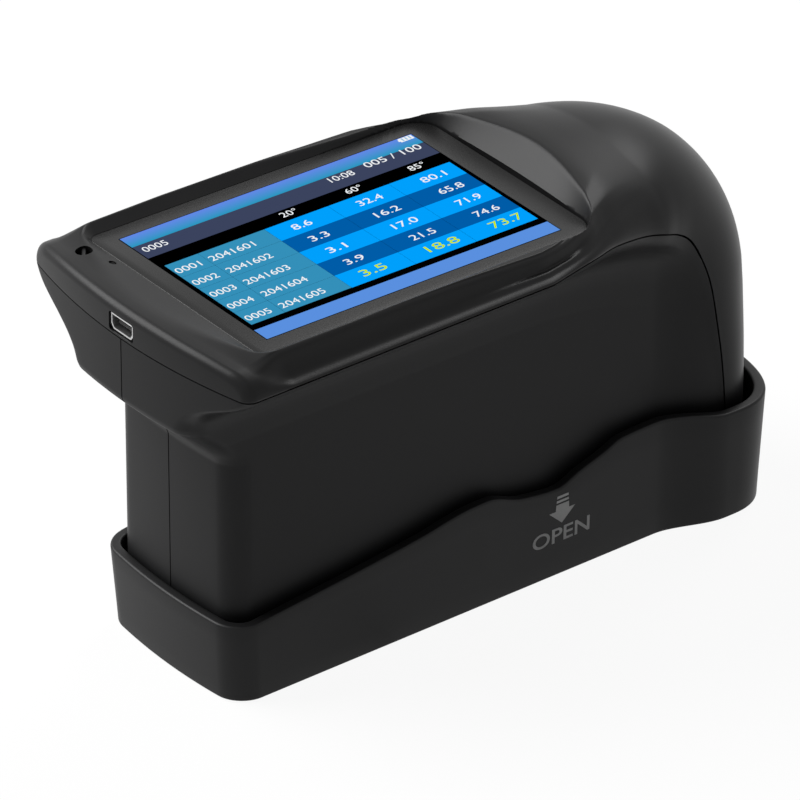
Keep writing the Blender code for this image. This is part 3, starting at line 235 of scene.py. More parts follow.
DECK_CREST = (
    (HEAD_X - 0.085, 0.0),
    (HEAD_X - 0.065, 0.0005),
    (HEAD_X - 0.045, 0.0014),
    (HEAD_X - 0.031, 0.0019),
    (HEAD_X - 0.021, 0.0004),
)
LIP_FOOT = ((0.25, 0.0017), (0.56, 0.0010), (0.84, 0.0007))
LIP_WIDTHS = (
    (HEAD_X - 0.0360, LIP_WIDTH),
    (HEAD_X - 0.0310, 0.0026),
    (HEAD_X - 0.0265, 0.0020),
    (HEAD_X - 0.0230, 0.0015),
    (HEAD_X - 0.0180, 0.0011),
)
DOME_CREST = (
    (HEAD_X - 0.0450, 0.0043),
    (HEAD_X - 0.0203, -0.0001),
    (HEAD_X - 0.0127, -0.0013),
    (HEAD_X - 0.0070, -0.0008),
    (HEAD_X, 0.0),
)

# How far out the recess's side walls lean for each unit of height, along the deck
RECESS_LEANS = (
    (GLASS_BACK_X + 0.002, 1.35),
    (GLASS_BACK_X + 0.045, 1.05),
    (GLASS_FRONT_X - 0.018, 0.55),
    (GLASS_FRONT_X - 0.009, 0.42),
)

# The tail's section: how far each point of the deck's section is in from the lip, and its height over the seam
TAIL_ARCH = (
    (0.0360, 0.0068),
    (0.0270, 0.0067),
    (0.0190, 0.0064),
    (0.0120, 0.0060),
    (0.0050, 0.0052),
    (0.0041, 0.0050),
    (0.0032, 0.0047),
    (0.0023, 0.0043),
    (0.0015, 0.0038),
    (0.0008, 0.0031),
    (0.0003, 0.0022),
    (0.0000, 0.0010),
    (0.0000, 0.0000),
)
TAIL_ARCH_START_X = TAIL_X + 0.0125
TAIL_ARCH_END_X = TAIL_X + 0.0035

RIM_LINE = (
    (HEAD_X - 0.1027, 0.0),
    (HEAD_X - 0.0786, 0.0024),
    (HEAD_X - 0.0608, 0.0045),
    (HEAD_X - 0.0473, 0.0066),
    (HEAD_X - 0.0430, 0.0067),
    (HEAD_X - 0.0343, 0.0039),
    (HEAD_X - 0.0250, 0.0028),
    (HEAD_X - 0.0195, 0.0049),
    (HEAD_X - 0.0127, 0.0071),
    (HEAD_X - 0.0083, 0.0088),
    (HEAD_X + 0.0002, 0.0091),
    (HEAD_X + 0.0084, 0.0086),
    (HEAD_X + 0.0168, 0.0073),
    (HEAD_X + 0.0310, 0.0070),
)

# How soft the crests round the display are, and how far an edge at a seam is eased
CREST_SOFTNESS = 0.0005
EDGE_EASE = 0.00012
SHARP_ANGLE = radians(35)


def ladder(start, *runs):
    """Places from the start on, each run being (its end, its number of steps)."""
    places = [start]
    for end, count in runs:
        begin = places[-1]
        places += [begin + (end - begin) * i / count for i in range(1, count + 1)]
    return places


def curve_through(points, place):
    """Height at a place on the smooth curve through (place, height) points, level past its ends."""
    if place <= points[0][0]:
        return points[0][1]
    if place >= points[-1][0]:
        return points[-1][1]
    i = max(k for k, point in enumerate(points[:-1]) if point[0] <= place)

    def grade(k):
        return (points[k + 1][1] - points[k][1]) / (points[k + 1][0] - points[k][0])

    def tangent(k):
        if k == 0:
            return grade(0)
        if k == len(points) - 1:
            return grade(k - 1)
        before, after = grade(k - 1), grade(k)
        return 2 * before * after / (before + after) if before * after > 0 else 0.0

    span = points[i + 1][0] - points[i][0]
    t = (place - points[i][0]) / span
    start = (1 + 2 * t) * (1 - t) ** 2 * points[i][1]
    end = t * t * (3 - 2 * t) * points[i + 1][1]
    bend = span * (t * (1 - t) ** 2 * tangent(i) - t * t * (1 - t) * tangent(i + 1))
    return start + end + bend


def smooth_step(start, end, place):
    t = min(1.0, max(0.0, (place - start) / (end - start)))
    return t * t * (3 - 2 * t)


def seam_at(step):
    """Point (x, z) of the seam line, a step being the way from one of its points to the next."""
    x = curve_through([(i, point[0]) for i, point in enumerate(SEAM_LINE)], step)
    z = curve_through([(i, point[1]) for i, point in enumerate(SEAM_LINE)], step)
    return x, z


SEAM_STEPS = np.linspace(0, len(SEAM_LINE) - 1, 2401)
SEAM_POINTS = np.array([seam_at(step) for step in SEAM_STEPS])
SEAM_FALL_START = int(np.argmax(SEAM_POINTS[:, 1] < SEAM_Z))


def seam_z(x):
    return float(np.interp(x, SEAM_POINTS[:, 0], SEAM_POINTS[:, 1]))


def seam_x(z):
    if z >= SEAM_Z:
        return TAIL_X
    falling = SEAM_POINTS[SEAM_FALL_START - 1:]
    return float(np.interp(-z, -falling[:, 1], falling[:, 0]))


def seam_half_width(x):
    extra = DECK_HALF_WIDTH - NOSE_HALF_WIDTH
    return NOSE_HALF_WIDTH + extra * curve_through(SEAM_WIDTH_SHARES, x)


def grip_half_width(x):
    flare = NOSE_HALF_WIDTH - PANEL_INSET - GRIP_HALF_WIDTH
    return GRIP_HALF_WIDTH + flare * smooth_step(GRIP_FLARE_START_X, GRIP_FLARE_END_X, x)


def side_half_width(x, z):
    overhang = seam_half_width(x) - grip_half_width(x)
    return grip_half_width(x) + overhang * curve_through(LIP_SWEEP, seam_z(x) - z)


def bowed(x, y):
    """X of a point once the tail's bow in plan is added to it."""
    return x + TAIL_BOW * (y / DECK_HALF_WIDTH) ** 2 * smooth_step(TAIL_BOW_END_X, GRIP_BACK_X, x)


def glass_z(x):
    return GLASS_BACK_Z - (x - GLASS_BACK_X) * tan(GLASS_TILT)


# Mesh pieces


def add_piece(name, bm, finish, body=None, nodes=(), smooth=True):
    """Make a mesh object from a bmesh that is modelled in place, and say what it rides on and replaces."""
    bmesh.ops.translate(bm, verts=bm.verts, vec=(-CENTRE_X, 0, 0))
    mesh = bpy.data.meshes.new(name)
    bm.to_mesh(mesh)
    bm.free()
    if smooth:
        mesh.shade_smooth()
        mesh.set_sharp_from_angle(angle=SHARP_ANGLE)
    made = bpy.data.objects.new(name, mesh)
    bpy.context.collection.objects.link(made)
    if finish:
        made.data.materials.append(finish.material)
    if body:
        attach(made, body)
    if nodes:
        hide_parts(*nodes)
    return made


def outward(bm):
    """Merge doubles and point the faces outwards."""
    bmesh.ops.remove_doubles(bm, verts=bm.verts, dist=0.00001)
    bmesh.ops.dissolve_degenerate(bm, dist=0.000005, edges=bm.edges)
    bmesh.ops.recalc_face_normals(bm, faces=bm.faces)
    if bm.calc_volume(signed=True) < 0:
        bmesh.ops.reverse_faces(bm, faces=bm.faces)
    return bm


def cut(bm, *cutters):
    """Take closed cutters out of a closed form."""
    work = add_piece("work_form", bm, None, smooth=False)
    for number, cutter in enumerate(cutters):
        tool = add_piece(f"work_cutter_{number}", outward(cutter), None, smooth=False)
        boolean = work.modifiers.new(tool.name, "BOOLEAN")
        boolean.operation = "DIFFERENCE"
        boolean.object = tool
        boolean.solver = "EXACT"
        tool.hide_render = True
    shown = work.evaluated_get(bpy.context.evaluated_depsgraph_get())
    result = bmesh.new()
    result.from_mesh(bpy.data.meshes.new_from_object(shown))
    for old in [o for o in bpy.data.objects if o.name.startswith("work_")]:
        bpy.data.objects.remove(old, do_unlink=True)
    bmesh.ops.translate(result, verts=result.verts, vec=(CENTRE_X, 0, 0))
    return result


def merge_into(target, source):
    carrier = bpy.data.meshes.new("carrier")
    source.to_mesh(carrier)
    source.free()
    target.from_mesh(carrier)
    bpy.data.meshes.remove(carrier)
    return target


def row_sheet(rows):
    """A sheet of faces whose points are the given rows, each with the same number of points."""
    bm = bmesh.new()
    across = len(rows[0]) - 1
    along = len(rows) - 1
    bmesh.ops.create_grid(bm, x_segments=across, y_segments=along, size=0.5)
    for vert in bm.verts:
        row = rows[round((vert.co.y + 0.5) * along)]
        vert.co = row[round((vert.co.x + 0.5) * across)]
    return bm


def ring_form(rings):
    """A closed form through closed rings with the same number of points each, capped at both ends."""
    bm = row_sheet([list(ring) + [ring[0]] for ring in rings])
    bmesh.ops.remove_doubles(bm, verts=bm.verts, dist=0.00001)
    bmesh.ops.holes_fill(bm, edges=[edge for edge in bm.edges if edge.is_boundary], sides=0)
    return outward(bm)


def make_box(x0, x1, y0, y1, z0, z1):
    bm = bmesh.new()
    bmesh.ops.create_cube(bm, size=1)
    scale = Matrix.Diagonal((x1 - x0, y1 - y0, z1 - z0, 1))
    centre = Vector(((x0 + x1) / 2, (y0 + y1) / 2, (z0 + z1) / 2))
    bmesh.ops.transform(bm, matrix=Matrix.Translation(centre) @ scale, verts=bm.verts)
    return bm


def make_rod(start, end, radius, segments=32):
    bm = bmesh.new()
    along = Vector(end) - Vector(start)
    turn = along.to_track_quat("Z", "Y").to_matrix().to_4x4()
    place = Matrix.Translation((Vector(start) + Vector(end)) / 2) @ turn
    bmesh.ops.create_cone(
        bm, cap_ends=True, segments=segments, radius1=radius, radius2=radius, depth=along.length, matrix=place
    )
    return bm


def rounded(bm, chosen, radius, segments):
    """Round the edges that a test picks."""
    edges = [edge for edge in bm.edges if chosen(edge)]
    bmesh.ops.bevel(
        bm,
        geom=edges,
        offset=radius,
        offset_type="OFFSET",
        segments=segments,
        profile=0.5,
        affect="EDGES",
        material=-1,
        clamp_overlap=True,
    )
    return bm


def runs_along(edge, axis):
    way = edge.verts[1].co - edge.verts[0].co
    return way.length > 0 and abs(way[axis]) > 0.99 * way.length


# Top housing


def line_points(points, turns):
    """Points at given turns on the smooth line through numbered (across, height) points."""
    across = [(i, point[0]) for i, point in enumerate(points)]
    height = [(i, point[1]) for i, point in enumerate(points)]
    return [(curve_through(across, turn), curve_through(height, turn)) for turn in turns]


def deck_section(half_width, crest, seam, lip_width):
    lip = half_width - lip_width
    flat = lip - SHOULDER_WIDTH
    points = [(flat * i / 4, crest) for i in range(5)]
    points += [(lip - 0.0013, crest - 0.00035), (lip - 0.0006, crest - 0.0010), (lip, crest - 0.0035)]
    points += [(lip + lip_width * share, seam + rise) for share, rise in LIP_FOOT]
    points += [(half_width, seam + 0.0004), (half_width, seam)]
    return points


def inner_deck_section(half_width, roof, foot):
    side = half_width - LIP_WIDTH - SHELL_WALL
    points = [(side * i / 8, roof) for i in range(8)]
    points += [(side - 0.001, roof), (side - 0.0003, roof - 0.0003), (side, roof - 0.001)]
    points += [(side, (roof - 0.001 + foot) / 2), (side, foot)]
    return points


TURNS = 12


def dome_shares(turns):
    """Shares of half-width and depth along a quarter of the dome's section, crest to foot."""
    shares = []
    for turn in turns:
        angle = pi / 2 * (1 - turn / TURNS)
        shares.append((max(0.0, cos(angle)) ** (2 / DOME_WIDTH_POWER), sin(angle) ** (2 / DOME_DEPTH_POWER)))
    return shares


def half_section_above_seam(x, inset, reach, turns):
    half_width = seam_half_width(x)
    seam = seam_z(x)
    deck_z = DECK_CREST_Z - curve_through(DECK_CREST, x)
    dome_z = HEAD_Z + HEAD_RISE - curve_through(DOME_CREST, x)
    if inset:
        deck = inner_deck_section(half_width, glass_z(x) - ROOF_DEPTH, seam - reach)
        width = half_width - inset
        rise = dome_z - inset - seam + reach
        dome = [(width * y, seam - reach + rise * z) for y, z in dome_shares(turns)]
        weight = smooth_step(GLASS_FRONT_X + FACET_FOOT_BOW, HEAD_X, x)
    else:
        tail = smooth_step(TAIL_ARCH_START_X, TAIL_ARCH_END_X, x)
        points = []
        plain = deck_section(half_width, deck_z, seam, curve_through(LIP_WIDTHS, x))
        for (y, z), (rest, height) in zip(plain, TAIL_ARCH):
            points.append((y + (half_width - rest - y) * tail, z + (seam + height - z) * tail))
        deck = line_points(points, turns)
        dome = [(half_width * y, seam + (dome_z - seam) * z) for y, z in dome_shares(turns)]
        weight = smooth_step(HEAD_START_X, HEAD_X, x)
    return [(x, a[0] + (b[0] - a[0]) * weight, a[1] + (b[1] - a[1]) * weight) for a, b in zip(deck, dome)]


def head_section(step, inset, reach, turns):
    foot_x, foot_z = seam_at(step)
    along = Vector((foot_x - HEAD_X, foot_z - HEAD_Z))
    foot = along.length
    along.normalize()
    reached = (abs(along.x) / HEAD_LENGTH) ** HEAD_POWER + (abs(along.y) / HEAD_RISE) ** HEAD_POWER
    crest = reached ** (-1 / HEAD_POWER)
    width = seam_half_width(foot_x) - inset
    points = []
    for y, depth in dome_shares(turns):
        radius = foot - reach + (crest - inset - foot + reach) * depth
        points.append((HEAD_X + along.x * radius, width * y, HEAD_Z + along.y * radius))
    return points


def nose_section(z, inset, reach, turns):
    tuck = NOSE_TUCK * ((HEAD_Z - z) / (HEAD_Z - BODY_FLOOR_Z)) ** NOSE_TUCK_POWER
    front = HEAD_X + HEAD_LENGTH - tuck - inset
    foot = seam_x(z) - reach
    width = seam_half_width(seam_x(z)) - inset
    return [(foot + (front - foot) * depth, width * y, z) for y, depth in dome_shares(turns)]


def tail_rows(inset, reach, turns, angles):
    """Rows of the tail: up its wall and over its ridge on to the deck."""
    start = TAIL_X + inset
    section = half_section_above_seam(start, inset, reach, turns)
    foot = section[-1][2]
    width = section[-1][1]
    rows = []
    for angle in angles:
        row = []
        for _, y, z in section:
            edge = (y / width) ** 6
            radius = RIDGE_RADIUS + (TAIL_CORNER_RADIUS - RIDGE_RADIUS) * edge
            drop = RIDGE_RADIUS * (1 - sin(angle)) * min(1.0, (z - foot) / (2 * RIDGE_RADIUS))
            side = y - TAIL_CORNER_RADIUS * (1 - sin(angle)) * edge
            row.append((start + radius * (1 - cos(angle)), side, z - drop))
        rows.append(row)
    return [[(x, y, foot) for x, y, _ in rows[0]]] + rows


def rounded_outline(back, front, half_width, radius, back_radius, front_bow=0.0, steps=4, straight=4):
    """A rectangle's outline in plan with round corners, whose front end can bow outwards."""
    corners = (
        (front - radius, half_width - radius, 0, radius),
        (back + back_radius, half_width - back_radius, 90, back_radius),
        (back + back_radius, back_radius - half_width, 180, back_radius),
        (front - radius, radius - half_width, 270, radius),
    )
    outline = []
    for x, y, start, radius in corners:
        for i in range(steps + 1):
            angle = radians(start + 90 * i / steps)
            outline.append((x + radius * cos(angle), y + radius * sin(angle)))
        if start in (90, 270):
            sign = 1 if start == 90 else -1
            end = back if start == 90 else front
            for i in range(1, straight):
                outline.append((end, sign * (1 - 2 * i / straight) * (half_width - radius)))
    bows = []
    for x, y in outline:
        share = 1 - (y / half_width) ** 2
        bows.append((x + front_bow * share if x > (front + back) / 2 else x, y))
    return bows


def recess_height(x, y):
    """How far above the glass the recess's sloping wall stands at a place, below zero inside its foot."""
    low, high = -0.0008, RECESS_REACH
    y = abs(y)
    lean = curve_through(RECESS_LEANS, x)
    for _ in range(18):
        height = (low + high) / 2
        half = GLASS_HALF_WIDTH + FIT + lean * height
        back = GLASS_BACK_X - GLASS_BACK_GAP - RECESS_BACK_SLOPE * height
        share = max(0.0, 1 - (y / half) ** 2)
        front = GLASS_FRONT_X + FIT + (FACET_EDGE_SLOPE + (FACET_SLOPE - FACET_EDGE_SLOPE) * share) * height
        middle = (back + front) / 2
        corner = GLASS_CORNER_RADIUS if x > middle else GLASS_BACK_RADIUS
        radius = corner + FIT + height / 2
        plain = x - FACET_FOOT_BOW * share if x > middle else x + RECESS_RAMP_SLOPE * height * share
        out_x = abs(plain - middle) - (front - back) / 2 + radius
        out_y = y - half + radius
        reach = Vector((max(out_x, 0.0), max(out_y, 0.0))).length + min(max(out_x, out_y), 0.0)
        if reach <= radius:
            high = height
        else:
            low = height
    return high


def lower_of(a, b):
    """The lower of two heights, with a soft crest where they meet."""
    blend = max(CREST_SOFTNESS - abs(a - b), 0.0) / CREST_SOFTNESS
    return min(a, b) - blend * blend * CREST_SOFTNESS / 4


def top_form(inset, reach, stations, head_steps, nose_heights, turns, angles):
    """The top housing's outer form, or with an inset the room inside it, as a closed solid."""
    rows = tail_rows(inset, reach, turns, angles)
    rows += [half_section_above_seam(x, inset, reach, turns) for x in stations]
    rows += [head_section(step, inset, reach, turns) for step in head_steps]
    rows += [nose_section(z, inset, reach, turns) for z in nose_heights]
    rows[-1] = [(x, y, z - reach) for x, y, z in rows[-1]]
    placed = []
    for row in rows:
        half = [(bowed(x, y), y, z) for x, y, z in row]
        if not inset and row[0][0] < HEAD_X:
            half = [(x, y, lower_of(z, glass_z(x) + recess_height(x, y))) for x, y, z in half]
            x, y, z = half[-1]
            half[-1] = (x, y - EDGE_EASE, z)
        placed.append([(x, -y, z) for x, y, z in reversed(half[1:])] + half)
    bm = row_sheet(placed)
    floor = row_sheet([[row[0], row[-1]] for row in placed])
    merge_into(bm, floor)
    bmesh.ops.remove_doubles(bm, verts=bm.verts, dist=0.00001)
    bmesh.ops.holes_fill(bm, edges=[edge for edge in bm.edges if edge.is_boundary], sides=0)
    return outward(bm)


def flat_box(back, front, half_width, depth, thickness):
    """A box parallel to the display glass, a depth below the glass's upper face."""
    bm = make_box(back, front, -half_width, half_width, -depth - thickness, -depth)
    for vert in bm.verts:
        vert.co.z += glass_z(vert.co.x)
    return bm


def eye_pit():
    """The round pit at the tail's corner, in which a wrist cord goes round a rod."""
    surface = glass_z(EYE_X)
    return make_rod((EYE_X, EYE_Y, surface - EYE_DEPTH), (EYE_X, EYE_Y, surface + 0.004), EYE_RADIUS, 40)


def build_eye_rod():
    along = Vector((sin(AZIMUTH), -cos(AZIMUTH), 0)) * (EYE_RADIUS + 0.0003)
    middle = Vector((EYE_X, EYE_Y, glass_z(EYE_X) + EYE_ROD_LIFT))
    rod = make_rod(middle - along, middle + along, EYE_ROD_RADIUS, 24)
    add_piece("eye_rod", rod, finishes["housing_plastic"], "instrument", ())


def nose_front(z):
    """X of the nose's outer face on the middle line at a height."""
    if z < HEAD_Z:
        return HEAD_X + HEAD_LENGTH - NOSE_TUCK * ((HEAD_Z - z) / (HEAD_Z - BODY_FLOOR_Z)) ** NOSE_TUCK_POWER
    return HEAD_X + HEAD_LENGTH * (1 - ((z - HEAD_Z) / HEAD_RISE) ** HEAD_POWER) ** (1 / HEAD_POWER)


def build_nose_rib():
    """The rib on the middle line inside the nose, which also closes the joint to light from the side."""
    half = RIB_THICKNESS / 2
    rings = []
    for z in ladder(RIB_LOW_Z, (RIB_HIGH_Z, 24)):
        back, front = seam_x(z) - RIB_REACH, nose_front(z) - SHELL_WALL + RIB_SINK
        rings.append([(back, -half, z), (front, -half, z), (front, half, z), (back, half, z)])
    add_piece("nose_rib", ring_form(rings), finishes["housing_plastic"], "instrument", ())


def build_top_housing():
    turns = ladder(0, (3, 25), (3.6, 10), (4.1, 25), (7, 24), (11.7, 17), (12, 1))
    angles = [radians(a) for a in ladder(0, (90, 9))]
    stations = ladder(
        TAIL_X + 0.0038,
        (GLASS_BACK_X - 0.003, 16),
        (GLASS_BACK_X + 0.006, 34),
        (HEAD_X - 0.027, 44),
        (HEAD_X - 0.010, 52),
        (HEAD_X, 12),
    )
    start = float(np.interp(HEAD_X, SEAM_POINTS[:, 0], SEAM_STEPS))
    steps = ladder(start + 0.08, (SEAM_NOSE_STEP, 44))
    heights = ladder(HEAD_Z, (BODY_FLOOR_Z, 34))
    form = top_form(0, 0, stations, steps, heights, turns, angles)
    rests = (0.075, 0.045, 0.027)
    room_stations = [GLASS_BACK_X] + [HEAD_X - rest for rest in rests]
    room_stations += [GLASS_FRONT_X + FACET_FOOT_BOW, HEAD_X - 0.010, HEAD_X - SEAM_GAP]
    room_steps = [step + 0.15 for step in (5, 6, SEAM_BEND_STEP, 7.7, SEAM_NOSE_STEP)]
    room_heights = (HEAD_Z - 0.001, BODY_FLOOR_Z)
    room_angles = [radians(a) for a in (0, 30, 60, 90)]
    room = top_form(
        SHELL_WALL, TOP_ROOM_REACH, room_stations, room_steps, room_heights, range(TURNS + 1), room_angles
    )
    foot = rounded_outline(
        GLASS_BACK_X - GLASS_BACK_GAP,
        GLASS_FRONT_X + FIT,
        GLASS_HALF_WIDTH + FIT,
        GLASS_CORNER_RADIUS + FIT,
        GLASS_BACK_RADIUS + FIT,
        front_bow=FACET_FOOT_BOW,
        steps=14,
        straight=24,
    )
    pocket = ring_form([[(x, y, glass_z(x) + z) for x, y in foot] for z in (-POCKET_DEPTH, 0.0003)])
    window = flat_box(
        LCD_BACK_X - LCD_BORDER / 2,
        LCD_FRONT_X + LCD_BORDER / 2,
        (LCD_ACTIVE_WIDTH + LCD_BORDER) / 2,
        GLASS_THICKNESS / 2,
        ROOF_DEPTH + 0.001,
    )
    half = USB_WIDTH / 2 + FIT
    rise = USB_HEIGHT / 2 + FIT
    deep = TAIL_X + USB_RECESS + USB_DEPTH + FIT
    socket_room = make_box(TAIL_X - 0.001, deep, -half, half, USB_Z - rise, USB_Z + rise)
    rounded(socket_room, lambda edge: runs_along(edge, 0), 0.0006, 5)
    light = make_rod(
        (LIGHT_X, LIGHT_Y, SEAM_Z), (LIGHT_X, LIGHT_Y, DECK_CREST_Z + 0.001), LIGHT_RADIUS + FIT / 2
    )
    housing = cut(form, room, pocket, window, socket_room, light, eye_pit())
    return add_piece(
        "housing_shell", housing, finishes["housing_plastic"], "instrument", ["top_housing"]
    )


# Side shells


def row_fall(height, x):
    bend_x = SEAM_LINE[SEAM_BEND_STEP][0]
    share = smooth_step(BODY_FLOOR_Z, SEAM_Z - TAIL_WALL_HEIGHT - UNDERSIDE_DROP, height)
    return (SEAM_Z - seam_z(min(x, bend_x))) * share


def back_x(z):
    """X of the rear face at the middle: the tail's wall, its underside and the grip's back."""
    low = SEAM_Z - TAIL_WALL_HEIGHT
    slope = (
        (low - UNDERSIDE_DROP - 0.0008, GRIP_BACK_X),
        (low - UNDERSIDE_DROP + 0.0012, GRIP_BACK_X - 0.0008),
        (low - 0.0008, TAIL_X + 0.0014),
        (low, TAIL_X + 0.0004),
        (low + 0.0012, TAIL_X),
    )
    return curve_through(slope, z)


def side_point(share, height, inset, front_reach):
    """A point of a side shell's row: share 0 is the back's middle, 1 the back corner's end, 2 the front."""
    x_back = back_x(height) + inset
    growth = (GRIP_CORNER_RADIUS - TAIL_CORNER_RADIUS) * smooth_step(0, TAIL_WALL_HEIGHT, SEAM_Z - height)
    radius = TAIL_CORNER_RADIUS + growth
    half_width = side_half_width(TAIL_X, height) - inset
    if share < 0.5:
        y = (half_width - radius) * share * 2
        return bowed(x_back, y), y, height
    if share <= 1:
        angle = (share - 0.5) * pi
        y = half_width - radius * (1 - sin(angle))
        return bowed(x_back + radius * (1 - cos(angle)), y), y, height
    start = x_back + radius
    front = seam_x(height - row_fall(height, HEAD_X + HEAD_LENGTH)) + front_reach
    x = start + (front - start) * (share - 1)
    z = height - row_fall(height, x)
    y = side_half_width(x, z) - inset
    return bowed(x, y), y, z


def side_form(inset, reach, shares, heights):
    """Half of the side shells' form as a closed solid on the side of +Y."""
    rows = [(height, 0.0) for height in heights]
    if reach:
        rows = [(heights[0], reach)] + rows + [(heights[-1], -reach)]
    middle = SEAM_GAP / 2 - reach
    placed = []
    for height, lift in rows:
        row = []
        for share in shares:
            x, y, z = side_point(share, height, inset, reach)
            top = height == SEAM_Z
            ease = EDGE_EASE if not reach and (top or share in (0, 2)) and share > 0.4 else 0.0
            x -= SEAM_GAP * max(0, share - 1)
            row.append((x, y - ease if share else middle, z + lift - (SEAM_GAP if top else 0)))
        placed.append(row)
    bm = row_sheet(placed)
    walls = bmesh.ops.extrude_edge_only(bm, edges=[edge for edge in bm.edges if edge.is_boundary])["geom"]
    for vert in [item for item in walls if isinstance(item, bmesh.types.BMVert)]:
        vert.co.y = middle
    bmesh.ops.remove_doubles(bm, verts=bm.verts, dist=0.00001)
    bmesh.ops.holes_fill(bm, edges=[edge for edge in bm.edges if edge.is_boundary], sides=0)
    return outward(bm)


def mirrored(bm, side):
    """The same solid on the side of +Y for 1, or of -Y for -1."""
    if side < 0:
        bmesh.ops.scale(bm, vec=(1, -1, 1), verts=bm.verts)
        bmesh.ops.reverse_faces(bm, faces=bm.faces)
    return bm


def side_shares(back_steps, corner_steps, places):
    start = TAIL_X + TAIL_CORNER_RADIUS
    shares = ladder(0, (0.5, back_steps), (1, corner_steps))
    return shares + [1 + (x - start) / (places[-1] - start) for x in places if x > start]


def button_prism(x, length, width, y0, y1, segments=10):
    """A flat-ended prism along Y with round ends."""
    bm = make_box(x - length / 2, x + length / 2, y0, y1, BUTTON_Z - width / 2, BUTTON_Z + width / 2)
    return rounded(bm, lambda edge: runs_along(edge, 1), width / 2 - 0.0001, segments)


def build_side_shells():
    end = seam_at(SEAM_BEND_STEP)[0]
    places = ladder(TAIL_X + TAIL_CORNER_RADIUS, (HEAD_X - 0.025, 44), (end - 0.0001, 60), (end, 1))
    shares = side_shares(8, 12, places)
    heights = ladder(SEAM_Z, (SEAM_Z - SEAM_GAP - EDGE_EASE, 1), (SEAM_Z - 0.0130, 34), (SEAM_Z - 0.0270, 40))
    heights = ladder(heights[0], (heights[1], 1), (SEAM_Z - 0.0130, 34), (SEAM_Z - 0.0270, 40), (BODY_FLOOR_Z, 22))
    depths = [depth for depth, _ in LIP_SWEEP[1:7]]
    depths += [TAIL_WALL_HEIGHT - 0.0012, TAIL_WALL_HEIGHT, TAIL_WALL_HEIGHT + 0.0008]
    depths += [TAIL_WALL_HEIGHT + UNDERSIDE_DROP - 0.0012, TAIL_WALL_HEIGHT + UNDERSIDE_DROP + 0.0008]
    room_heights = [SEAM_Z] + [SEAM_Z - depth for depth in depths]
    room_heights = ladder(room_heights[0], *[(height, 1) for height in room_heights[1:]], (BODY_FLOOR_Z, 3))
    room_places = ladder(TAIL_X + TAIL_CORNER_RADIUS, (HEAD_X - 0.035, 3), (end, 14))
    room_shares = side_shares(2, 2, room_places)
    for name, side in (("left", 1), ("right", -1)):
        cutters = [mirrored(side_form(SHELL_WALL, SIDE_ROOM_REACH, room_shares, room_heights), side)]
        if side > 0:
            inner = GRIP_HALF_WIDTH - SHELL_WALL - 0.002
            for _, _, x, length, width in BUTTONS:
                hole = button_prism(x, length + 2 * FIT, width + 2 * FIT, inner, GRIP_HALF_WIDTH + 0.002, 12)
                cutters.append(hole)
        shell = cut(mirrored(side_form(0, 0, shares, heights), side), *cutters)
        node = f"{name}_side_shell"
        add_piece(f"{name}_grip_shell", shell, finishes["side_plastic"], "instrument", [node])


def build_buttons():
    inner = GRIP_HALF_WIDTH - SHELL_WALL
    flange_top = inner - FIT
    proud = GRIP_HALF_WIDTH + BUTTON_PROUD
    for name, body, x, length, width in BUTTONS:
        cap = button_prism(x, length, width, flange_top - 0.0002, proud)
        rim = [edge for edge in cap.edges if all(vert.co.y > proud - 0.00001 for vert in edge.verts)]
        rounded(cap, lambda edge: edge in rim, 0.0005, 4)
        dish = max(cap.faces, key=lambda face: face.calc_center_median().y)
        bmesh.ops.inset_region(cap, faces=[dish], thickness=0.0009, depth=0)
        bmesh.ops.inset_region(cap, faces=[dish], thickness=0.0012, depth=-0.00022)
        wide = BUTTON_FLANGE * 2
        foot = flange_top - BUTTON_FLANGE_THICKNESS
        merge_into(cap, button_prism(x, length + wide, width + wide, foot, flange_top))
        cap_name = name.replace("button", "key_cap")
        add_piece(cap_name, outward(cap), finishes["side_plastic"], body, [name])


# Cover


def cover_outline(inset, rise, fine=True):
    """The cover in plan, inset from its outer face, at a share of its height."""
    flare_start = GRIP_FLARE_START_X - COVER_FLARE_LEAD
    flare_end = GRIP_FLARE_END_X - COVER_FLARE_LEAD
    half = GRIP_HALF_WIDTH + COVER_SIDE_GAP + COVER_WALL + COVER_DRAFT * rise - inset
    lean = COVER_BACK_DRAFT * (1 - rise) if inset < COVER_WALL else 0.0
    back = GRIP_BACK_X - COVER_BACK_GAP - COVER_WALL + lean + inset
    front = COVER_FRONT_X + COVER_FRONT_DRAFT * rise - inset
    radius = max(0.001, COVER_CORNER_RADIUS - inset)
    outline = []
    for share in ladder(0, (1, 8))[:-1]:
        y = (half - radius) * share
        outline.append((bowed(back, y), y))
    for angle in ladder(0, (pi / 2, 14)):
        y = half - radius * (1 - sin(angle))
        outline.append((bowed(back + radius * (1 - cos(angle)), y), y))
    for x in ladder(HEAD_X - 0.091, (flare_start, 62), (flare_end, 22)):
        outline.append((x, half + COVER_FLARE * smooth_step(flare_start, flare_end, x)))
    wide = half + COVER_FLARE
    length = front - flare_end - 0.001
    for angle in ladder(0, (pi / 2, 36))[1:]:
        depth = sin(angle) ** (2 / COVER_NOSE_POWER)
        width = wide * max(0.0, cos(angle)) ** (2 / COVER_NOSE_POWER)
        outline.append((flare_end + 0.001 + length * depth, width))
    outline[-1] = (outline[-1][0], 0.0)
    return outline + [(x, -y) for x, y in reversed(outline[1:-1])]


def rim_z(x):
    return RIM_BACK_Z + curve_through(RIM_LINE, x)


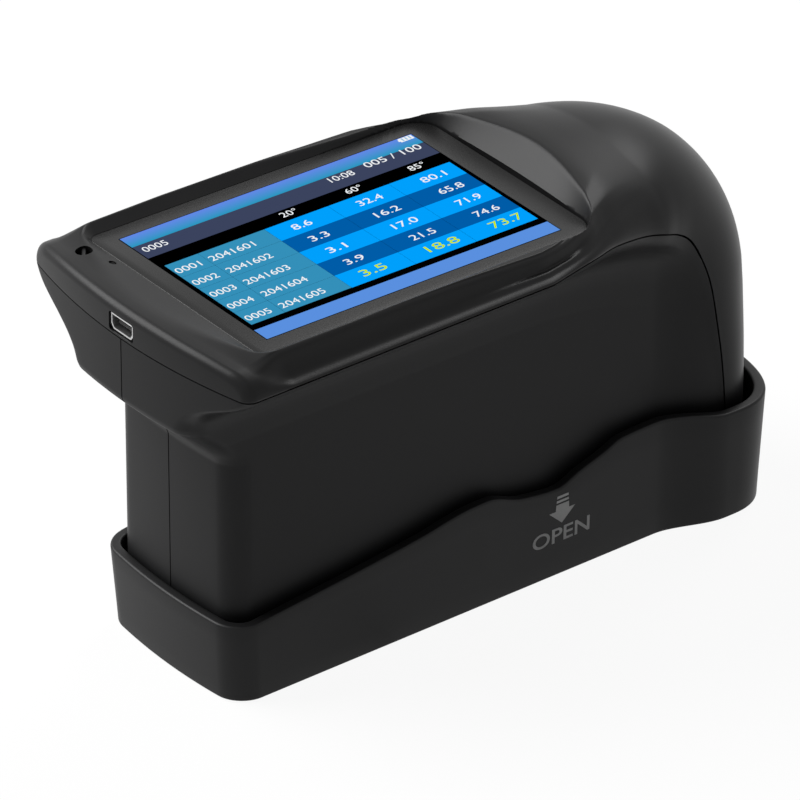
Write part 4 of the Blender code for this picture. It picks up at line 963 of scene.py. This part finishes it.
def build_cover():
    edge = COVER_EDGE
    base = rim_z(HEAD_X)
    round_edge = [radians(a) for a in ladder(0, (90, 6))]
    profile = [(edge * (1 - sin(a)), edge * (1 - cos(a)), 0.0) for a in round_edge]
    profile += [(0.0, edge, 0.2), (0.0, edge, 0.4), (0.0, edge, 0.6), (0.0, edge, 0.8)]
    profile += [(edge * (1 - cos(a)), -edge * (1 - sin(a)), 1.0) for a in round_edge]
    profile += [(COVER_WALL - edge * (1 - sin(a)), -edge * (1 - cos(a)), 1.0) for a in round_edge]
    rings = []
    for inset, z, follow in profile:
        ring = []
        for x, y in cover_outline(inset, follow if follow else min(1.0, z / base)):
            ring.append((x, y, z + follow * (rim_z(x) - (2 * edge if 0 < follow < 1 else 0))))
        rings.append(ring)
    ledge = BODY_FLOOR_Z - FIT
    for inset, z in ((COVER_WALL, ledge), (COVER_WALL + LEDGE_WIDTH, ledge), (COVER_WALL + LEDGE_WIDTH, COVER_FLOOR)):
        rings.append([(x, y, z) for x, y in cover_outline(inset, min(1.0, z / base))])
    add_piece(
        "cover_cup", ring_form(rings), finishes["cover_plastic"], "cover", ["calibration_cover"]
    )
    half = TILE_LENGTH / 2 + FIT
    side = TILE_WIDTH / 2 + FIT
    wall = TILE_FRAME_WALL
    top = ledge - TILE_FRAME_DROP
    border = make_box(
        SPOT_X - half - wall, SPOT_X + half + wall, -side - wall, side + wall, COVER_FLOOR - 0.0003, top
    )
    rounded(border, lambda e: runs_along(e, 2), 0.0012, 6)
    rounded(border, lambda e: all(vert.co.z > top - 0.00001 for vert in e.verts), 0.0003, 3)
    border = cut(border, make_box(SPOT_X - half, SPOT_X + half, -side, side, 0.001, ledge + 0.001))
    add_piece("tile_border", border, finishes["cover_plastic"], "cover", ())


# Display and tail fittings


def build_glass():
    spread = FIT - 0.00006
    half_width = GLASS_HALF_WIDTH + spread
    glass = make_box(GLASS_BACK_X, GLASS_FRONT_X + spread, -half_width, half_width, -GLASS_THICKNESS, 0)
    middle = (GLASS_BACK_X + GLASS_FRONT_X) / 2
    rounded(glass, lambda e: runs_along(e, 2) and e.verts[0].co.x > middle, GLASS_CORNER_RADIUS, 14)
    rounded(glass, lambda e: runs_along(e, 2) and e.verts[0].co.x < GLASS_BACK_X + 0.0001, GLASS_BACK_RADIUS, 8)
    rounded(glass, lambda edge: all(vert.co.z > -0.00001 for vert in edge.verts), 0.00015, 3)
    for vert in glass.verts:
        vert.co.z += glass_z(vert.co.x)
    add_piece(
        "smoked_glass", outward(glass), finishes["display_glass"], "instrument", ["display_glass"]
    )


def build_socket():
    """The mini socket's folded shell: a prism with a room sunk from its rear end."""
    back = TAIL_X + USB_RECESS
    side = USB_WIDTH / 2
    top = USB_HEIGHT / 2
    waist = -top + 0.0012
    narrow = side - 0.0008
    outline = ((-side, top), (-side, waist), (-narrow, -top), (narrow, -top), (side, waist), (side, top))
    bm = bmesh.new()
    mouth = bm.faces.new([bm.verts.new((back, y, USB_Z + z)) for y, z in outline])
    grown = bmesh.ops.extrude_face_region(bm, geom=[mouth], use_keep_orig=True)["geom"]
    moved = [item for item in grown if isinstance(item, bmesh.types.BMVert)]
    bmesh.ops.translate(bm, verts=moved, vec=(USB_DEPTH, 0, 0))
    outward(bm)
    rounded(bm, lambda edge: runs_along(edge, 0), 0.00035, 4)
    mouth = min(bm.faces, key=lambda face: face.calc_center_median().x)
    bmesh.ops.inset_region(bm, faces=[mouth], thickness=USB_WALL, depth=0)
    inner = bmesh.ops.extrude_face_region(bm, geom=[mouth])["geom"]
    bmesh.ops.delete(bm, geom=[mouth], context="FACES_ONLY")
    moved = [item for item in inner if isinstance(item, bmesh.types.BMVert)]
    bmesh.ops.translate(bm, verts=moved, vec=(USB_DEPTH - USB_WALL, 0, 0))
    add_piece(
        "socket_shell", outward(bm), finishes["plated_steel"], "instrument", ["usb_socket"]
    )


# Print on the cover, and the display's picture


def text_form(words, left, right, low, high, bold=0.0):
    """Flat text in the XY plane, fitted between four limits, as a thin closed form around z = 0."""
    curve = bpy.data.curves.new("work_text", "FONT")
    curve.body = words
    curve.offset = bold
    curve.extrude = 0.02
    curve.resolution_u = 6
    holder = bpy.data.objects.new("work_text", curve)
    bpy.context.collection.objects.link(holder)
    shown = holder.evaluated_get(bpy.context.evaluated_depsgraph_get())
    mesh = bpy.data.meshes.new_from_object(shown)
    bm = bmesh.new()
    bm.from_mesh(mesh)
    bpy.data.objects.remove(holder, do_unlink=True)
    xs = [vert.co.x for vert in bm.verts]
    ys = [vert.co.y for vert in bm.verts]
    wide = max(xs) - min(xs)
    tall = max(ys) - min(ys)
    for vert in bm.verts:
        vert.co.x = left + (vert.co.x - min(xs)) / wide * (right - left)
        vert.co.y = low + (vert.co.y - min(ys)) / tall * (high - low)
        vert.co.z = PRINT_THICKNESS / 2 * (1 if vert.co.z > 0 else -1)
    bmesh.ops.remove_doubles(bm, verts=bm.verts, dist=0.000002)
    return bm


PRINT_THICKNESS = 0.00002
PRINT_PROUD = 0.00003


def cover_side_y(x, z):
    """Outer face of the cover's straight side at a place along it and a height."""
    rise = min(1.0, max(0.0, (z - COVER_EDGE) / (rim_z(x) - 2 * COVER_EDGE)))
    return GRIP_HALF_WIDTH + COVER_SIDE_GAP + COVER_WALL + COVER_DRAFT * rise


def build_cover_print():
    """The word and the arrow that say how the cover comes off, on its right side."""
    word = text_form("OPEN", 0.01360, 0.02850, 0.0083, 0.0119, 0.012)
    arrow = bmesh.new()
    for corners in (
        ((0.0211, 0.0128), (0.0245, 0.0160), (0.0177, 0.0160)),
        ((0.0194, 0.0158), (0.0229, 0.0158), (0.0228, 0.0175), (0.0195, 0.0175)),
        ((0.01955, 0.01795), (0.02275, 0.01795), (0.0227, 0.0185), (0.0196, 0.0185)),
        ((0.01965, 0.0190), (0.02265, 0.0190), (0.0226, 0.0196), (0.0197, 0.0196)),
    ):
        face = arrow.faces.new([arrow.verts.new((x, z, -PRINT_THICKNESS / 2)) for x, z in corners])
        grown = bmesh.ops.extrude_face_region(arrow, geom=[face], use_keep_orig=True)["geom"]
        moved = [item for item in grown if isinstance(item, bmesh.types.BMVert)]
        bmesh.ops.translate(arrow, verts=moved, vec=(0, 0, PRINT_THICKNESS))
    for name, form in (("cover_word", word), ("cover_arrow", arrow)):
        for vert in form.verts:
            x, z, out = vert.co
            vert.co = (x, -cover_side_y(x, z) - PRINT_PROUD - out, z)
        bmesh.ops.recalc_face_normals(form, faces=form.faces)
        add_piece(name, form, finishes["grey_print"], "cover", (), smooth=False)


def screen_point(along, down, lift):
    """A point over the lit area, from its left end and its upper side as the picture is read."""
    x = LCD_BACK_X + along
    return Vector((x, LCD_ACTIVE_WIDTH / 2 - down, glass_z(x) + lift))


def screen_patch(left, right, high, low, lift, steps=1):
    bm = make_box(left, right, high, low, lift, lift + PRINT_THICKNESS)
    if steps > 1:
        across = [edge for edge in bm.edges if runs_along(edge, 1)]
        bmesh.ops.subdivide_edges(bm, edges=across, cuts=steps, use_grid_fill=True)
    for vert in bm.verts:
        vert.co = screen_point(*vert.co)
    return outward(bm)


ROW_TOPS = [0.01385 + 0.00579 * i for i in range(6)]
VALUES = (
    ("8.6", "32.4", "80.1"),
    ("3.3", "16.2", "65.8"),
    ("3.1", "17.0", "71.9"),
    ("3.9", "21.5", "74.6"),
    ("3.5", "18.8", "73.7"),
)
VALUE_LEFTS = (0.0305, 0.0470, 0.0632)
VALUE_WIDTHS = (0.0046, 0.0060, 0.0060)


def build_screen():
    """The lit picture: bars, table cells and generic numbers, as thin pieces on the glass."""
    base = screen_patch(-0.0002, LCD_ACTIVE_LENGTH + 0.0002, -0.0002, LCD_ACTIVE_WIDTH + 0.0002, 0.00001)
    add_piece("screen_base", base, finishes["screen_black"], "instrument", (), smooth=False)
    lift = 0.00003
    end = LCD_ACTIVE_LENGTH
    patches = {
        "screen_top_bar": ("screen_blue_bar", [(0, end, 0, 0.0042)]),
        "screen_slate_bar": ("screen_slate", [(0, end, 0.0042, 0.0096)]),
        "screen_low_bar": ("screen_periwinkle", [(0, end, 0.0448, 0.0490)]),
    }
    gap = 0.00007
    labels, bright, deep = [], [], []
    for row in range(5):
        high, low = ROW_TOPS[row], ROW_TOPS[row + 1]
        labels.append((0.0009, 0.0092 - gap, high, low - gap))
        labels.append((0.0092, 0.0257 - gap, high, low - gap))
        cells = bright if row % 2 == 0 else deep
        for left, right in ((0.0257, 0.0417), (0.0417, 0.0571), (0.0571, 0.0727)):
            cells.append((left, right - gap, high, low))
    patches["screen_labels"] = ("screen_teal", labels)
    patches["screen_bright_cells"] = ("screen_sky", bright)
    patches["screen_deep_cells"] = ("screen_deep", deep)
    for name, (finish, boxes) in patches.items():
        form = bmesh.new()
        for left, right, high, low in boxes:
            merge_into(form, screen_patch(left, right, high, low, lift))
        add_piece(name, form, finishes[finish], "instrument", (), smooth=False)
    white, lime = [], []
    white.append(("0005", 0.0011, 0.0069, 0.0074, 0.0020))
    white.append(("10:08", 0.0482, 0.0543, 0.0067, 0.0020))
    white.append(("005 / 100", 0.0577, 0.0719, 0.0061, 0.0021))
    for head, left in (("20°", 0.0316), ("60°", 0.0480), ("85°", 0.0641)):
        white.append((head, left, left + 0.0040, 0.0124, 0.0020))
    for row, values in enumerate(VALUES):
        baseline = ROW_TOPS[row] + 0.0040
        for value, left, wide in zip(values, VALUE_LEFTS, VALUE_WIDTHS):
            if row == 4:
                lime.append((value, left - 0.0002, left + wide * 1.28, baseline - 0.0001, 0.0025))
            else:
                white.append((value, left, left + wide, baseline, 0.0021))
        white.append((f"{row + 1:04d}", 0.0013, 0.0073, baseline + 0.0003, 0.0020))
        white.append((f"{2041601 + row}", 0.0097, 0.0206, baseline + 0.0003, 0.0020))
    for name, finish, texts in (("screen_words", "screen_white", white), ("screen_last_row", "screen_lime", lime)):
        form = bmesh.new()
        for words, left, right, baseline, tall in texts:
            merge_into(form, text_form(words, left, right, -baseline, -baseline + tall))
        for vert in form.verts:
            along, up, out = vert.co
            vert.co = screen_point(along, -up, 0.00008 + out)
        bmesh.ops.recalc_face_normals(form, faces=form.faces)
        add_piece(name, form, finishes[finish], "instrument", (), smooth=False)
    battery = bmesh.new()
    for left, right, high, low in (
        (0.0698, 0.0731, 0.0002, 0.0017),
        (0.0695, 0.0698, 0.0006, 0.0013),
    ):
        merge_into(battery, screen_patch(left, right, high, low, 0.00006))
    add_piece("screen_battery", battery, finishes["screen_white"], "instrument", (), smooth=False)
    stripes = bmesh.new()
    for i in range(3):
        left = 0.0704 + 0.0009 * i
        merge_into(stripes, screen_patch(left, left + 0.00035, 0.0004, 0.0015, 0.00009))
    add_piece("screen_charge", stripes, finishes["screen_stripe"], "instrument", (), smooth=False)


# Materials


class Level:
    """A number that varies over a surface. Its operators add Math nodes to its material."""

    def __init__(self, finish, socket):
        self.finish = finish
        self.socket = socket

    def worked(self, operation, a, b):
        node = self.finish.node("ShaderNodeMath", {"operation": operation}, {0: a, 1: b})
        return Level(self.finish, node.outputs[0])

    def __add__(self, other):
        return self.worked("ADD", self, other)

    def __radd__(self, other):
        return self.worked("ADD", other, self)

    def __sub__(self, other):
        return self.worked("SUBTRACT", self, other)

    def __rsub__(self, other):
        return self.worked("SUBTRACT", other, self)

    def __mul__(self, other):
        return self.worked("MULTIPLY", self, other)

    def __rmul__(self, other):
        return self.worked("MULTIPLY", other, self)

    def __pow__(self, other):
        return self.worked("POWER", self, other)


class Finish:
    """A procedural material with its Principled surface, and a method that adds any other node."""

    def __init__(self, name, constants):
        self.material = bpy.data.materials.new(name)
        self.material.use_nodes = True
        self.tree = self.material.node_tree
        self.surface = self.tree.nodes["Principled BSDF"]
        self.feed(self.surface, constants)
        self.place = self.node("ShaderNodeTexCoord").outputs["Object"]

    def feed(self, node, sockets):
        for key, value in sockets.items():
            target = node.inputs[key]
            if isinstance(value, Level):
                self.tree.links.new(value.socket, target)
            elif isinstance(value, bpy.types.NodeSocket):
                self.tree.links.new(value, target)
            else:
                target.default_value = value

    def node(self, kind, settings=None, sockets=None):
        made = self.tree.nodes.new(kind)
        for key, value in (settings or {}).items():
            if key == "stops":
                ramp = made.color_ramp.elements
                while len(ramp) < len(value):
                    ramp.new(1.0)
                for stop, (place, colour) in zip(ramp, value):
                    stop.position = place
                    stop.color = (*colour, 1.0)
            else:
                setattr(made, key, value)
        self.feed(made, sockets or {})
        return made

    def noise(self, scale, detail=2.0, stretch=None):
        place = self.place
        if stretch:
            place = self.node("ShaderNodeMapping", None, {"Vector": place, "Scale": stretch}).outputs[0]
        made = self.node("ShaderNodeTexNoise", None, {"Vector": place, "Scale": scale, "Detail": detail})
        return Level(self, made.outputs["Fac"])

    def ramp(self, level, *stops):
        return self.node("ShaderNodeValToRGB", {"stops": stops}, {"Fac": level}).outputs["Color"]

    def bump(self, level, strength, distance):
        sockets = {"Height": level, "Strength": strength, "Distance": distance}
        return self.node("ShaderNodeBump", None, sockets).outputs["Normal"]

    def shade(self, sockets):
        self.feed(self.surface, sockets)
        return self


def grey(value):
    return (value, value, value)


def shaded(colour, share):
    return tuple(channel * share for channel in colour)


def moulded(name, colour, roughness, specular, grain=0.00028, depth=0.000012):
    """Moulded plastic with a fine spark texture and faint broad differences in its sheen."""
    finish = Finish(name, {"Specular IOR Level": specular})
    spark = finish.noise(1 / grain, 3.0)
    broad = finish.noise(55.0, 3.0)
    handled = finish.noise(14.0, 2.0)
    return finish.shade(
        {
            "Base Color": finish.ramp(broad, (0.25, shaded(colour, 0.88)), (0.75, shaded(colour, 1.12))),
            "Roughness": roughness + (spark - 0.5) * 0.10 + (broad - 0.5) * 0.07 + (handled - 0.5) * 0.06,
            "Normal": finish.bump(spark, 0.35, depth),
        }
    )


def lit(name, colour, low=None):
    """A lit area of the display behind its smoked glass, faintly striped as the real panel's rows are, or, given a
    low colour, fading to it down from its upper side without stripes.
    """
    finish = Finish(name, {"Base Color": (0.0, 0.0, 0.0, 1.0), "Roughness": 0.30, "Emission Strength": 1.0})
    finish.feed(finish.surface, {"Specular IOR Level": 0.0, "IOR": 1.0})
    place = finish.node("ShaderNodeSeparateXYZ", None, {0: finish.place})
    wave = finish.node("ShaderNodeMath", {"operation": "SINE"}, {0: Level(finish, place.outputs["Y"]) * 29000.0})
    rows = Level(finish, wave.outputs[0]) * 0.5 + 0.5
    stops = ((0.0, shaded(colour, 0.94)), (1.0, colour))
    if low:
        top_y = LCD_ACTIVE_WIDTH / 2
        fall = (top_y - Level(finish, place.outputs["Y"])) * (1 / 0.0042)
        stops = ((0.0, colour), (1.0, low))
        rows = fall
    return finish.shade({"Emission Color": finish.ramp(rows, *stops)})


def make_finishes():
    made = {
        "housing_plastic": moulded("satin_black_housing", (0.0085, 0.0085, 0.0088), 0.36, 0.14),
        "side_plastic": moulded("soft_black_side", (0.0075, 0.0075, 0.0078), 0.44, 0.14),
        "cover_plastic": moulded("satin_black_cover", (0.0070, 0.0070, 0.0073), 0.42, 0.17, 0.00035),
        "inner_plastic": moulded("matt_black_inner", (0.012, 0.012, 0.012), 0.62, 0.30, 0.0006, 0.00002),
    }
    glass = Finish("smoked_glass", {"Specular IOR Level": 0.20})
    sheen = glass.noise(5200.0, 2.0)
    cloud = glass.noise(40.0, 2.0)
    made["display_glass"] = glass.shade(
        {
            "Base Color": glass.ramp(cloud, (0.3, grey(0.007)), (0.7, grey(0.009))),
            "Roughness": 0.26 + (sheen - 0.5) * 0.10 + (cloud - 0.5) * 0.04,
            "Normal": glass.bump(sheen, 0.12, 0.000003),
        }
    )
    steel = Finish("plated_steel", {"Metallic": 1.0})
    brushed = steel.noise(2600.0, 2.0, (1.0, 1.0, 0.12))
    made["plated_steel"] = steel.shade(
        {
            "Base Color": steel.ramp(steel.noise(300.0), (0.3, grey(0.56)), (0.7, grey(0.68))),
            "Roughness": 0.24 + brushed * 0.16,
            "Normal": steel.bump(brushed, 0.2, 0.000004),
        }
    )
    board = Finish("green_board", {"Coat Weight": 0.3, "Coat Roughness": 0.2})
    cells = board.node(
        "ShaderNodeTexVoronoi",
        {"feature": "DISTANCE_TO_EDGE", "distance": "CHEBYCHEV"} if False else {"feature": "DISTANCE_TO_EDGE"},
        {"Vector": board.place, "Scale": 330.0},
    )
    traces = board.ramp(Level(board, cells.outputs["Distance"]), (0.05, (0.03, 0.22, 0.09)), (0.09, (0.012, 0.12, 0.05)))
    made["circuit_board"] = board.shade(
        {
            "Base Color": traces,
            "Roughness": 0.38 + board.noise(1500.0) * 0.14,
            "Normal": board.bump(Level(board, cells.outputs["Distance"]), 0.2, 0.00004),
        }
    )
    lens = Finish("clear_lens", {"Transmission Weight": 0.85, "IOR": 1.5})
    dust = lens.noise(1800.0, 3.0)
    made["clear_glass"] = lens.shade(
        {
            "Base Color": lens.ramp(dust, (0.3, (0.78, 0.83, 0.86)), (0.7, (0.86, 0.90, 0.92))),
            "Roughness": 0.03 + dust * 0.05,
        }
    )
    # The light pipe's finish: near-black, darker than the moulded plastic, is painted shade standing in for the dark
    # of its hole, not the pipe's own colour.
    pipe_shade = Finish("dark_light", {"Specular IOR Level": 0.05})
    mist = pipe_shade.noise(1500.0)
    made["dark_light"] = pipe_shade.shade(
        {
            "Base Color": pipe_shade.ramp(mist, (0.3, grey(0.001)), (0.7, grey(0.002))),
            "Roughness": 0.25 + mist * 0.1,
        }
    )
    resin = Finish("lamp_resin", {"Coat Weight": 0.4})
    milk = resin.noise(900.0)
    made["lamp_resin"] = resin.shade(
        {
            "Base Color": resin.ramp(milk, (0.3, (0.82, 0.80, 0.70)), (0.7, (0.93, 0.91, 0.84))),
            "Roughness": 0.18 + milk * 0.08,
        }
    )
    wrap = Finish("cell_wrap", {"Coat Weight": 0.5, "Coat Roughness": 0.15})
    crease = wrap.noise(700.0, 4.0, (1.0, 1.0, 0.25))
    made["battery_wrap"] = wrap.shade(
        {
            "Base Color": wrap.ramp(crease, (0.2, (0.07, 0.19, 0.46)), (0.8, (0.12, 0.28, 0.60))),
            "Roughness": 0.30 + crease * 0.12,
            "Normal": wrap.bump(crease, 0.3, 0.00006),
        }
    )
    tile = Finish("polished_tile", {"Specular IOR Level": 0.55})
    haze = tile.noise(120.0, 3.0)
    made["tile_glass"] = tile.shade(
        {
            "Base Color": tile.ramp(haze, (0.3, grey(0.005)), (0.7, grey(0.008))),
            "Roughness": 0.03 + haze * 0.03,
        }
    )
    foam = Finish("grey_foam", {"Specular IOR Level": 0.2})
    pores = foam.node("ShaderNodeTexVoronoi", {"feature": "F1"}, {"Vector": foam.place, "Scale": 2200.0})
    cell = Level(foam, pores.outputs["Distance"])
    made["grey_foam"] = foam.shade(
        {
            "Base Color": foam.ramp(cell, (0.0, grey(0.09)), (0.6, grey(0.24))),
            "Roughness": 0.85 + cell * 0.1,
            "Normal": foam.bump(cell, 0.7, 0.0002),
        }
    )
    ink = Finish("grey_print", {"Specular IOR Level": 0.3})
    edge = ink.noise(9000.0, 2.0)
    made["grey_print"] = ink.shade(
        {
            "Base Color": ink.ramp(edge, (0.3, grey(0.34)), (0.7, grey(0.42))),
            "Roughness": 0.5 + edge * 0.1,
        }
    )
    panel = Finish("panel_film", {"Coat Weight": 0.4})
    film = panel.noise(2500.0)
    made["display_panel"] = panel.shade(
        {
            "Base Color": panel.ramp(film, (0.3, (0.07, 0.25, 0.50)), (0.7, (0.09, 0.31, 0.60))),
            "Roughness": 0.25 + film * 0.1,
        }
    )
    made["screen_black"] = lit("screen_black", (0.0, 0.0, 0.0))
    made["screen_blue_bar"] = lit("screen_blue_bar", (0.125, 0.245, 0.80), (0.02, 0.31, 0.52))
    made["screen_slate"] = lit("screen_slate", (0.045, 0.058, 0.115))
    made["screen_periwinkle"] = lit("screen_periwinkle", (0.105, 0.285, 0.76))
    made["screen_teal"] = lit("screen_teal", (0.035, 0.285, 0.50))
    made["screen_sky"] = lit("screen_sky", (0.0, 0.36, 1.0))
    made["screen_deep"] = lit("screen_deep", (0.0, 0.11, 0.40))
    made["screen_white"] = lit("screen_white", (0.90, 0.93, 0.95))
    made["screen_lime"] = lit("screen_lime", (0.60, 0.83, 0.0))
    made["screen_stripe"] = lit("screen_stripe", (0.30, 0.52, 0.75))
    return made


def dress_cad_nodes():
    """Give every CAD node that still shows the finish of its slot in the record, except the light pipe, which gets a
    near-black finish of painted shade.
    """
    for part in frame["record"]["subparts"]:
        node = frame["nodes"][part["node"]]
        if node.hide_render:
            continue
        node.data.materials.clear()
        # The light pipe gets the near-black painted shade finish in place of its slot's own finish.
        finish = "dark_light" if part["node"] == "light_pipe" else part["material_slot"]
        node.data.materials.append(finishes[finish].material)


# Stage, light and camera

AZIMUTH = radians(-37.612)
ELEVATION = radians(31.264)
LENS_PIXELS = 8918.9
DISTANCE = 1.8374
AIM_RIGHT = 0.002541
AIM_UP = -0.03334
SENSOR = 36.0
PICTURE_PIXELS = 800


def build_camera():
    back = Vector((sin(AZIMUTH) * cos(ELEVATION), -cos(AZIMUTH) * cos(ELEVATION), sin(ELEVATION)))
    right = Vector((cos(AZIMUTH), sin(AZIMUTH), 0))
    up = back.cross(right)
    centre = back * DISTANCE - right * AIM_RIGHT - up * AIM_UP - Vector((CENTRE_X, 0, 0))
    data = bpy.data.cameras.new("camera")
    data.sensor_width = SENSOR
    data.lens = LENS_PIXELS / PICTURE_PIXELS * SENSOR
    data.clip_start = 0.1
    data.clip_end = 50.0
    camera = bpy.data.objects.new("camera", data)
    bpy.context.collection.objects.link(camera)
    turn = Matrix((right, up, back)).transposed().to_4x4()
    camera.matrix_world = Matrix.Translation(centre) @ turn
    bpy.context.scene.camera = camera


def white_for_seen_rays(finish):
    """1 for a ray from the camera, a glossy or a clear surface, and 0 for any other."""
    path = finish.node("ShaderNodeLightPath").outputs
    seen = Level(finish, path["Is Camera Ray"]) + Level(finish, path["Is Glossy Ray"])
    seen = seen + Level(finish, path["Is Transmission Ray"])
    return Level(finish, finish.node("ShaderNodeMath", {"operation": "MINIMUM"}, {0: seen, 1: 1.0}).outputs[0])


def build_floor():
    bm = bmesh.new()
    bmesh.ops.create_grid(bm, x_segments=1, y_segments=1, size=6.0)
    bmesh.ops.translate(bm, verts=bm.verts, vec=(0, 0, -0.0001))
    floor = Finish("pale_floor", {"Base Color": (0.86, 0.86, 0.86, 1.0), "Roughness": 0.9, "Specular IOR Level": 0.1})
    glow = floor.node("ShaderNodeEmission", None, {"Color": (1.0, 1.0, 1.0, 1.0), "Strength": 1.0})
    share = white_for_seen_rays(floor) * FLOOR_GLOW
    mix = floor.node(
        "ShaderNodeMixShader", None, {0: share, 1: floor.surface.outputs[0], 2: glow.outputs[0]}
    )
    floor.tree.links.new(mix.outputs[0], floor.tree.nodes["Material Output"].inputs["Surface"])
    add_piece("floor", bm, floor, smooth=False)


FLOOR_GLOW = 0.93


def build_world():
    world = bpy.data.worlds.new("world")
    bpy.context.scene.world = world
    world.use_nodes = True
    tree = world.node_tree
    tree.nodes.clear()
    path = tree.nodes.new("ShaderNodeLightPath")
    seen = None
    for key in ("Is Camera Ray", "Is Glossy Ray", "Is Transmission Ray"):
        if seen is None:
            seen = path.outputs[key]
            continue
        both = tree.nodes.new("ShaderNodeMath")
        both.operation = "MAXIMUM"
        tree.links.new(seen, both.inputs[0])
        tree.links.new(path.outputs[key], both.inputs[1])
        seen = both.outputs[0]
    dim = tree.nodes.new("ShaderNodeBackground")
    dim.inputs["Color"].default_value = (1, 1, 1, 1)
    dim.inputs["Strength"].default_value = WORLD_LEVEL
    white = tree.nodes.new("ShaderNodeBackground")
    white.inputs["Color"].default_value = (1, 1, 1, 1)
    white.inputs["Strength"].default_value = 1.0
    mix = tree.nodes.new("ShaderNodeMixShader")
    tree.links.new(seen, mix.inputs[0])
    tree.links.new(dim.outputs[0], mix.inputs[1])
    tree.links.new(white.outputs[0], mix.inputs[2])
    output = tree.nodes.new("ShaderNodeOutputWorld")
    tree.links.new(mix.outputs[0], output.inputs["Surface"])


WORLD_LEVEL = 0.15
LAMPS = (
    ("key", (-0.80, 1.05, 1.20), 1.5, 50.0),
    ("back", (1.00, 0.50, 1.25), 0.7, 8.0),
)


def build_lamps():
    for name, place, size, power in LAMPS:
        data = bpy.data.lights.new(name, "AREA")
        data.shape = "DISK"
        data.size = size
        data.energy = power
        lamp = bpy.data.objects.new(name, data)
        bpy.context.collection.objects.link(lamp)
        lamp.location = place
        aim = Vector((0, 0, 0.05)) - Vector(place)
        lamp.rotation_euler = aim.to_track_quat("-Z", "Y").to_euler()


bpy.context.scene.view_settings.view_transform = "Standard"
finishes = make_finishes()
build_top_housing()
build_side_shells()
build_buttons()
build_cover()
build_glass()
build_socket()
build_nose_rib()
build_eye_rod()
build_cover_print()
build_screen()
dress_cad_nodes()
build_camera()
build_floor()
build_world()
build_lamps()
